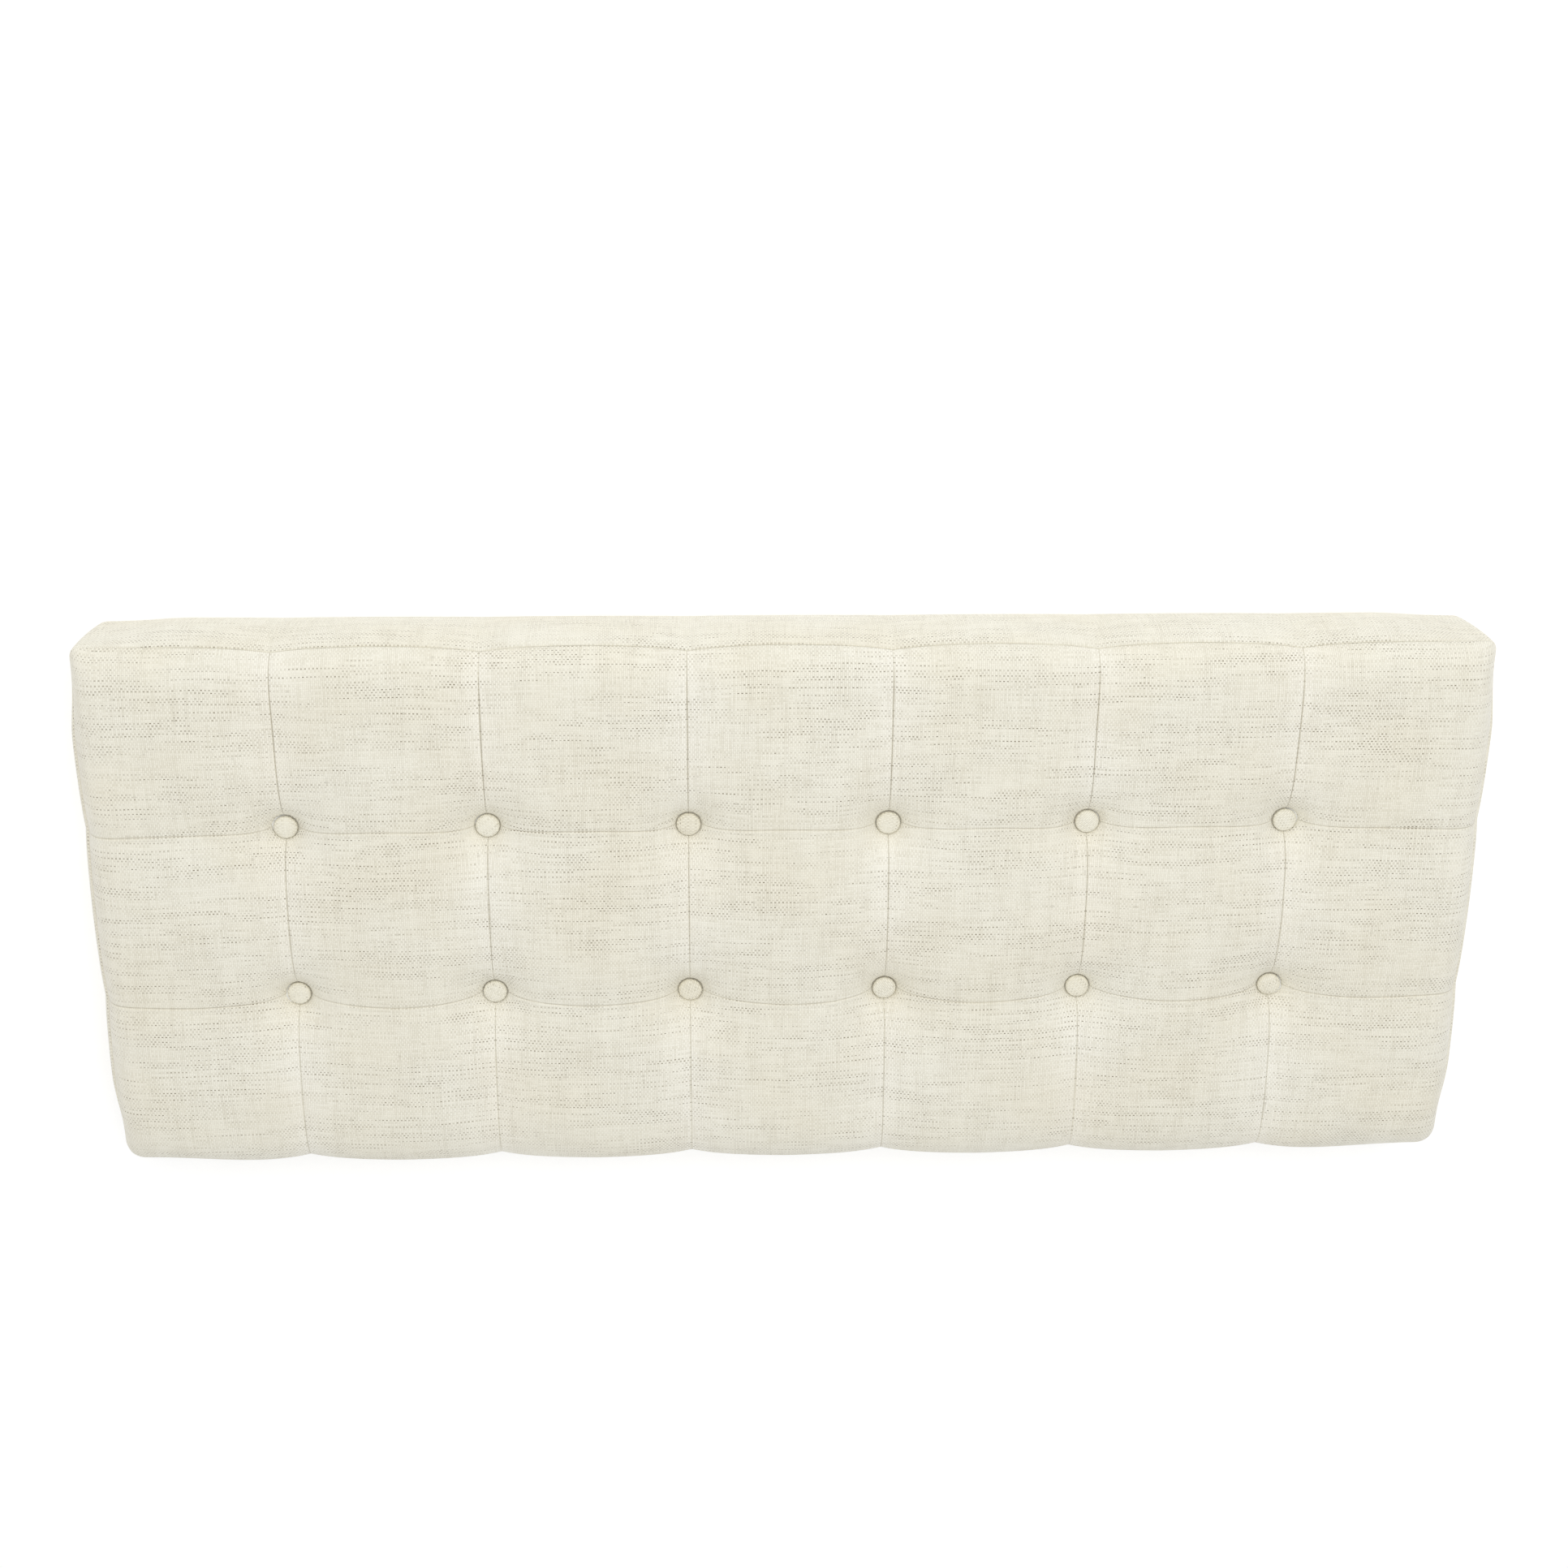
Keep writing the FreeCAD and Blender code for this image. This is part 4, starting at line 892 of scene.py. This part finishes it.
def stitching(name, rows):
    """Rows of stitches along X at the rear, each dipping into the cloth at its ends."""
    along = np.array([-1, -0.8, -0.35, 0.35, 0.8, 1]) * STITCH_LENGTH / 2
    radius = np.array([0.35, 0.8, 1, 1, 0.8, 0.35]) * STITCH_RADIUS
    sink = np.array([-1, -0.35, 0, 0, -0.35, -1]) * STITCH_SINK
    angles = np.arange(STITCH_SIDES) * math.tau / STITCH_SIDES
    ring_x = along[:, None] + 0 * angles
    ring_y = sink[:, None] + radius[:, None] * np.cos(angles)
    ring_z = radius[:, None] * np.sin(angles)
    one = np.stack([ring_x, ring_y, ring_z], axis=-1).reshape(-1, 3)
    one_faces = tube_faces(len(along), STITCH_SIDES)
    points, faces = [], []
    for height, out in rows:
        for x in np.arange(-REAR_HALF + STITCH_PITCH, REAR_HALF - STITCH_PITCH, STITCH_PITCH):
            start = len(points) * len(one)
            lean = rng.uniform(-STITCH_LEAN, STITCH_LEAN)
            turned = one + np.outer(one[:, 0], [0, 0, lean])
            points.append(turned + [x, out + STITCH_OUT, height])
            faces += [[start + index for index in face] for face in one_faces]
    piece = new_piece(name, np.concatenate(points), faces, thread_cotton)


stitching("zip_topstitching", [upper_stitch, lower_stitch])

# --- Zip coils ---

COIL_WIRE, COIL_PITCH = 0.78 * MM, 1.5 * MM
COIL_REACH = 0.15 * MM  # the loops reach this far towards the other coil
TURN_POINTS, WIRE_SIDES = 10, 5


def zip_coil(node, toward, start_turn):
    """A nylon coil: a flattened helix in the space of the CAD node."""
    low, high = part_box(node)
    low.z, high.z = low.z + min(toward, 0) * COIL_REACH, high.z + max(toward, 0) * COIL_REACH
    turns = int((high.x - low.x - COIL_WIRE) / COIL_PITCH)
    angle = np.linspace(0, math.tau * turns, turns * TURN_POINTS + 1)
    centre = (low + high) / 2
    half_y, half_z = (high.y - low.y - COIL_WIRE) / 2, (high.z - low.z - COIL_WIRE) / 2
    x = low.x + COIL_WIRE / 2 + (high.x - low.x - COIL_WIRE) * angle / angle[-1]
    turn = angle + start_turn
    line = np.stack([x, centre.y + half_y * np.cos(turn), centre.z + half_z * np.sin(turn)], axis=1)
    tangent = np.gradient(line, axis=0)
    tangent /= np.linalg.norm(tangent, axis=1, keepdims=True)
    away = np.stack([0 * turn, np.cos(turn), np.sin(turn)], axis=1)
    away -= tangent * np.sum(tangent * away, axis=1, keepdims=True)
    away /= np.linalg.norm(away, axis=1, keepdims=True)
    beside = np.cross(tangent, away)
    sides = np.arange(WIRE_SIDES) * math.tau / WIRE_SIDES
    round_wire = away[:, None] * np.cos(sides)[:, None] + beside[:, None] * np.sin(sides)[:, None]
    rings = line[:, None] + COIL_WIRE / 2 * round_wire
    faces = tube_faces(turns * TURN_POINTS + 1, WIRE_SIDES)
    piece = new_piece(f"{node}_nylon", rings.reshape(-1, 3), faces, coil_nylon)
    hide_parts(node)


zip_coil("zip_coil_upper", -1, 0.0)
zip_coil("zip_coil_lower", 1, math.pi)

# --- Base panel ---

BASE_ROLL = 5 * MM
HOLLOW_INNER, HOLLOW_OUTER = ANCHOR_RADIUS + 1.5 * MM, 28 * MM


def hollows(x, y, depth):
    """Rise of the underside into the hollow at each anchor button."""
    rise = 0 * x
    for _, centre in BUTTONS:
        away = np.hypot(x - centre.x, y - centre.y)
        hollow = 1 - smooth((away - HOLLOW_INNER) / (HOLLOW_OUTER - HOLLOW_INNER))
        rise = np.maximum(rise, depth * hollow)
    return rise


def make_base_panel():
    x, y = grid_x[::BASE_EVERY, ::BASE_EVERY], grid_y[::BASE_EVERY, ::BASE_EVERY]
    base_x, base_y = round_corner(x, y, BASE_CORNER)
    edge_x, edge_y = from_edges(x, y)
    base_x = base_x - np.sign(x) * BASE_GROOVE * fall(edge_x, GROOVE_RUN)
    base_y = base_y - np.sign(y) * BASE_GROOVE * fall(edge_y, GROOVE_RUN)
    height = BASE_Z * np.maximum(fall(edge_x, BASE_ROLL), fall(edge_y, BASE_ROLL))
    height = np.maximum(height, hollows(x, y, HOLLOW_Z))
    grid = np.stack([base_x, base_y, height], axis=-1)[::-1]
    # Painted shade along the seam round the base.
    shade = BASE_SHADE * bell(np.minimum(edge_x, edge_y)[::-1], BASE_SHADE_WIDTH)
    panel = cloth_panel("base_panel_cloth", grid, plain_cloth(grid, (3, 3)), shade)
    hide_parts("bottom_panel")


make_base_panel()

# --- Filling: wadding over and under a foam core ---

FILLING_LINES = 4  # the filling has every fourth line of the face
FILLING_LENGTH, FILLING_DEPTH = 602.5 * MM, 238.2 * MM  # half sizes
FILLING_GAP = 0.3 * MM
FOAM_DIMPLE, FOAM_DIMPLE_RUN = 10 * MM, 22 * MM
FOAM_RISE = 3.2 * MM
coarse = (slice(None, None, FILLING_LINES), slice(None, None, FILLING_LINES))
fill_x, fill_y = grid_x[coarse], grid_y[coarse]


def filling(node, low, high, material):
    """A closed block of filling between two heights over the whole plan."""
    plan_x, plan_y = round_corner(fill_x, fill_y, BASE_CORNER)
    plan_x, plan_y = plan_x * FILLING_LENGTH / HALF_LENGTH, plan_y * FILLING_DEPTH / HALF_DEPTH
    rows, columns = fill_x.shape
    top = np.stack([plan_x, plan_y, high], axis=-1).reshape(-1, 3)
    bottom = np.stack([plan_x, plan_y, low], axis=-1).reshape(-1, 3)
    faces = grid_faces(rows, columns)
    faces += [face[::-1] for face in grid_faces(rows, columns, len(top))]
    border = grid_border(rows, columns).tolist()
    for here, there in zip(border[:-1], border[1:]):
        faces.append([there, here, here + len(top), there + len(top)])
    piece = new_piece(f"{node}_fill", np.concatenate([top, bottom]), faces, material)
    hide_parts(node)


def make_filling():
    dimple = 0 * fill_x
    for _, centre in BUTTONS:
        away = np.hypot(fill_x - centre.x, fill_y - centre.y)
        dimple = np.maximum(dimple, bell(away, FOAM_DIMPLE_RUN))
    foam_top = foam_high.z - FOAM_DIMPLE * dimple
    foam_base = foam_low.z + hollows(fill_x, fill_y, FOAM_RISE)
    cover = under_face[coarse] - COVER_THICKNESS
    wadding_high = np.maximum(cover, foam_top + 2 * FILLING_GAP)
    wadding_low = COVER_THICKNESS + FILLING_GAP + hollows(fill_x, fill_y, HOLLOW_Z)
    above, below = foam_top + FILLING_GAP, foam_base - FILLING_GAP
    filling("wadding_top", above, wadding_high, wadding_fibre)
    filling("foam_core", foam_base, foam_top, foam_cells)
    filling("wadding_base", wadding_low, below, wadding_fibre)


make_filling()

# --- Buttons ---

BUTTON_SIDES, BUTTON_RINGS = 64, 22
BUTTON_EASE = 0.5 * MM  # how much smaller its rim is than in CAD
BUTTON_LEAN = 3  # degrees
BUTTON_WAIST = 1.1 * MM  # height of the widest ring above the seat
BUTTON_SQUARE = 2.5  # 2 is an ellipse, more is a flatter disc with a rounder edge
TUCK = 1.3 * MM
RIM_PLEATS, RIM_PLEAT_DEPTH = 17, 0.14 * MM
PLEATS_FROM, PLEATS_RUN = 0.8, 0.2  # shares of the radius
BUTTON_STRETCH, BUTTON_SPREAD = 1.05, 7  # each button's own place on the cloth
# Painted shade under the button's rim.
TUCK_SHADE = 0.5


def button_profile():
    """Radius and height of the covered button, from the middle of its dome to under its rim."""
    turns = np.linspace(0, math.pi / 2, BUTTON_RINGS + 1)
    rim = BUTTON_RADIUS - BUTTON_EASE
    radii = rim * np.sin(turns) ** (2 / BUTTON_SQUARE)
    heights = BUTTON_WAIST + (BUTTON_DOME - BUTTON_WAIST) * np.cos(turns) ** (2 / BUTTON_SQUARE)
    under = np.linspace(0, 1, 7)[1:]
    radii = np.concatenate([radii, rim - TUCK * under**2])
    heights = np.concatenate([heights, BUTTON_WAIST * (1 - 1.3 * under)])
    return radii, heights


def covered_button(spot, centre):
    """A fabric-covered button, pleated at its rim and leaning a little."""
    turn, lean_x, lean_y, pleat_start = rng.uniform(
        [0, -BUTTON_LEAN, -BUTTON_LEAN, 0], [360, BUTTON_LEAN, BUTTON_LEAN, 360]
    )
    lean = Matrix.Rotation(math.radians(lean_x), 3, "X")
    lean = lean @ Matrix.Rotation(math.radians(lean_y), 3, "Y")
    radii, heights = button_profile()
    angles = np.arange(BUTTON_SIDES) * math.tau / BUTTON_SIDES
    near_rim = smooth((radii / BUTTON_RADIUS - PLEATS_FROM) / PLEATS_RUN)[:, None]
    pleat = RIM_PLEAT_DEPTH * near_rim * np.cos(RIM_PLEATS * angles + math.radians(pleat_start))
    ring_radii = radii[:, None] + pleat
    rings = [ring_radii * np.cos(angles), ring_radii * np.sin(angles), heights[:, None] + 0 * pleat]
    points = np.stack(rings, axis=-1)[1:].reshape(-1, 3)
    points = np.concatenate([[[0, 0, heights[0]]], points])
    faces = [[0, 1 + side, 1 + (side + 1) % BUTTON_SIDES] for side in range(BUTTON_SIDES)]
    for ring in range(len(radii) - 2):
        inner, outer = 1 + ring * BUTTON_SIDES, 1 + (ring + 1) * BUTTON_SIDES
        for here in range(BUTTON_SIDES):
            there = (here + 1) % BUTTON_SIDES
            faces.append([inner + here, outer + here, outer + there, inner + there])
    last = 1 + (len(radii) - 2) * BUTTON_SIDES
    faces.append([last + side for side in range(BUTTON_SIDES)][::-1])
    spin = Matrix.Rotation(math.radians(turn), 2)
    on_cloth = points[:, :2] @ np.array(spin).T * BUTTON_STRETCH
    on_cloth = on_cloth + [BUTTON_SPREAD * centre.x, BUTTON_SPREAD * centre.y]
    cloth = [on_cloth[index] for face in faces for index in face]
    # Painted shade under the rim, where the cloth tucks in.
    under_rim = TUCK_SHADE * smooth((BUTTON_WAIST - heights[1:]) / MM)
    seam = np.concatenate([[0], np.repeat(under_rim, BUTTON_SIDES)])
    base = np.array([centre.x, centre.y, SEAT_Z])
    points = base + points @ np.array(lean).T
    piece = new_piece(f"button_cover_{spot}", points, faces, button_weave, cloth, seam)
    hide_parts(f"tuft_button_{spot}")


for spot, centre in BUTTONS:
    covered_button(spot, centre)

# --- Floor, light and camera ---

CAMERA_TILT, CAMERA_YAW, CAMERA_ROLL = np.radians([22.35, 2.05, -0.39])
CAMERA_DISTANCE = 2062 * MM
CAMERA_ASIDE, CAMERA_ABOVE = 3.7 * MM, -112.4 * MM
LENS, SENSOR = 52.94, 36.0


def add_camera():
    """The camera looks down on the pad, with the front edge at the top of the picture."""
    data = bpy.data.cameras.new("camera")
    data.lens, data.sensor_width = LENS, SENSOR
    data.clip_start, data.clip_end = 0.05, 50
    camera = add_object("camera", data)
    to_camera = Matrix.Rotation(CAMERA_ROLL, 3, "Z") @ Matrix.Rotation(CAMERA_TILT, 3, "X")
    to_camera = to_camera @ Matrix.Rotation(CAMERA_YAW, 3, "Y") @ Matrix.Rotation(math.pi, 3, "Z")
    offset = Vector((CAMERA_ASIDE, CAMERA_ABOVE, -CAMERA_DISTANCE))
    to_world = to_camera.transposed()
    place = Vector((0, 0, SEAM_Z)) - to_world @ offset
    camera.matrix_world = Matrix.Translation(place) @ to_world.to_4x4()
    bpy.context.scene.camera = camera


def add_area_light(name, place, target, size, power):
    data = bpy.data.lights.new(name, "AREA")
    data.size, data.energy = size, power
    light = add_object(name, data)
    light.location = place
    light.rotation_euler = (Vector(target) - Vector(place)).to_track_quat("-Z", "Y").to_euler()


FLOOR_HALF, FLOOR_LEVEL, FLOOR_GLOW = 60.0, -0.3 * MM, 0.22
KEY_PLACE, KEY_SIZE, KEY_POWER = (-0.2, -1.5, 2.9), 2.0, 40
WORLD_STRENGTH = 0.665


def add_floor():
    n = Nodes("floor")
    mottle = n.fade(n.noise(n.place(), scale=3), 0.2, 0.8)
    colour = n.blend(mottle, (0.93, 0.93, 0.93, 1), (0.95, 0.95, 0.95, 1))
    glow = {"Emission_Color": (1, 1, 1, 1), "Emission_Strength": FLOOR_GLOW}
    material = n.finish(colour, 0.9, **glow)
    signs = [(-1, -1), (1, -1), (1, 1), (-1, 1)]
    corners = [(x * FLOOR_HALF, y * FLOOR_HALF, FLOOR_LEVEL) for x, y in signs]
    mesh = bpy.data.meshes.new("floor")
    mesh.from_pydata(corners, [], [(0, 1, 2, 3)])
    mesh.materials.append(material)
    floor = add_object("floor", mesh)


add_camera()
add_floor()
add_area_light("key", KEY_PLACE, (0, 0, 0), KEY_SIZE, KEY_POWER)
world = bpy.data.worlds.new("studio")
bpy.context.scene.world = world
world.use_nodes = True
sky = world.node_tree.nodes["Background"].inputs
sky["Color"].default_value = (1, 1, 1, 1)
sky["Strength"].default_value = WORLD_STRENGTH
bpy.context.scene.view_settings.view_transform = "Standard"
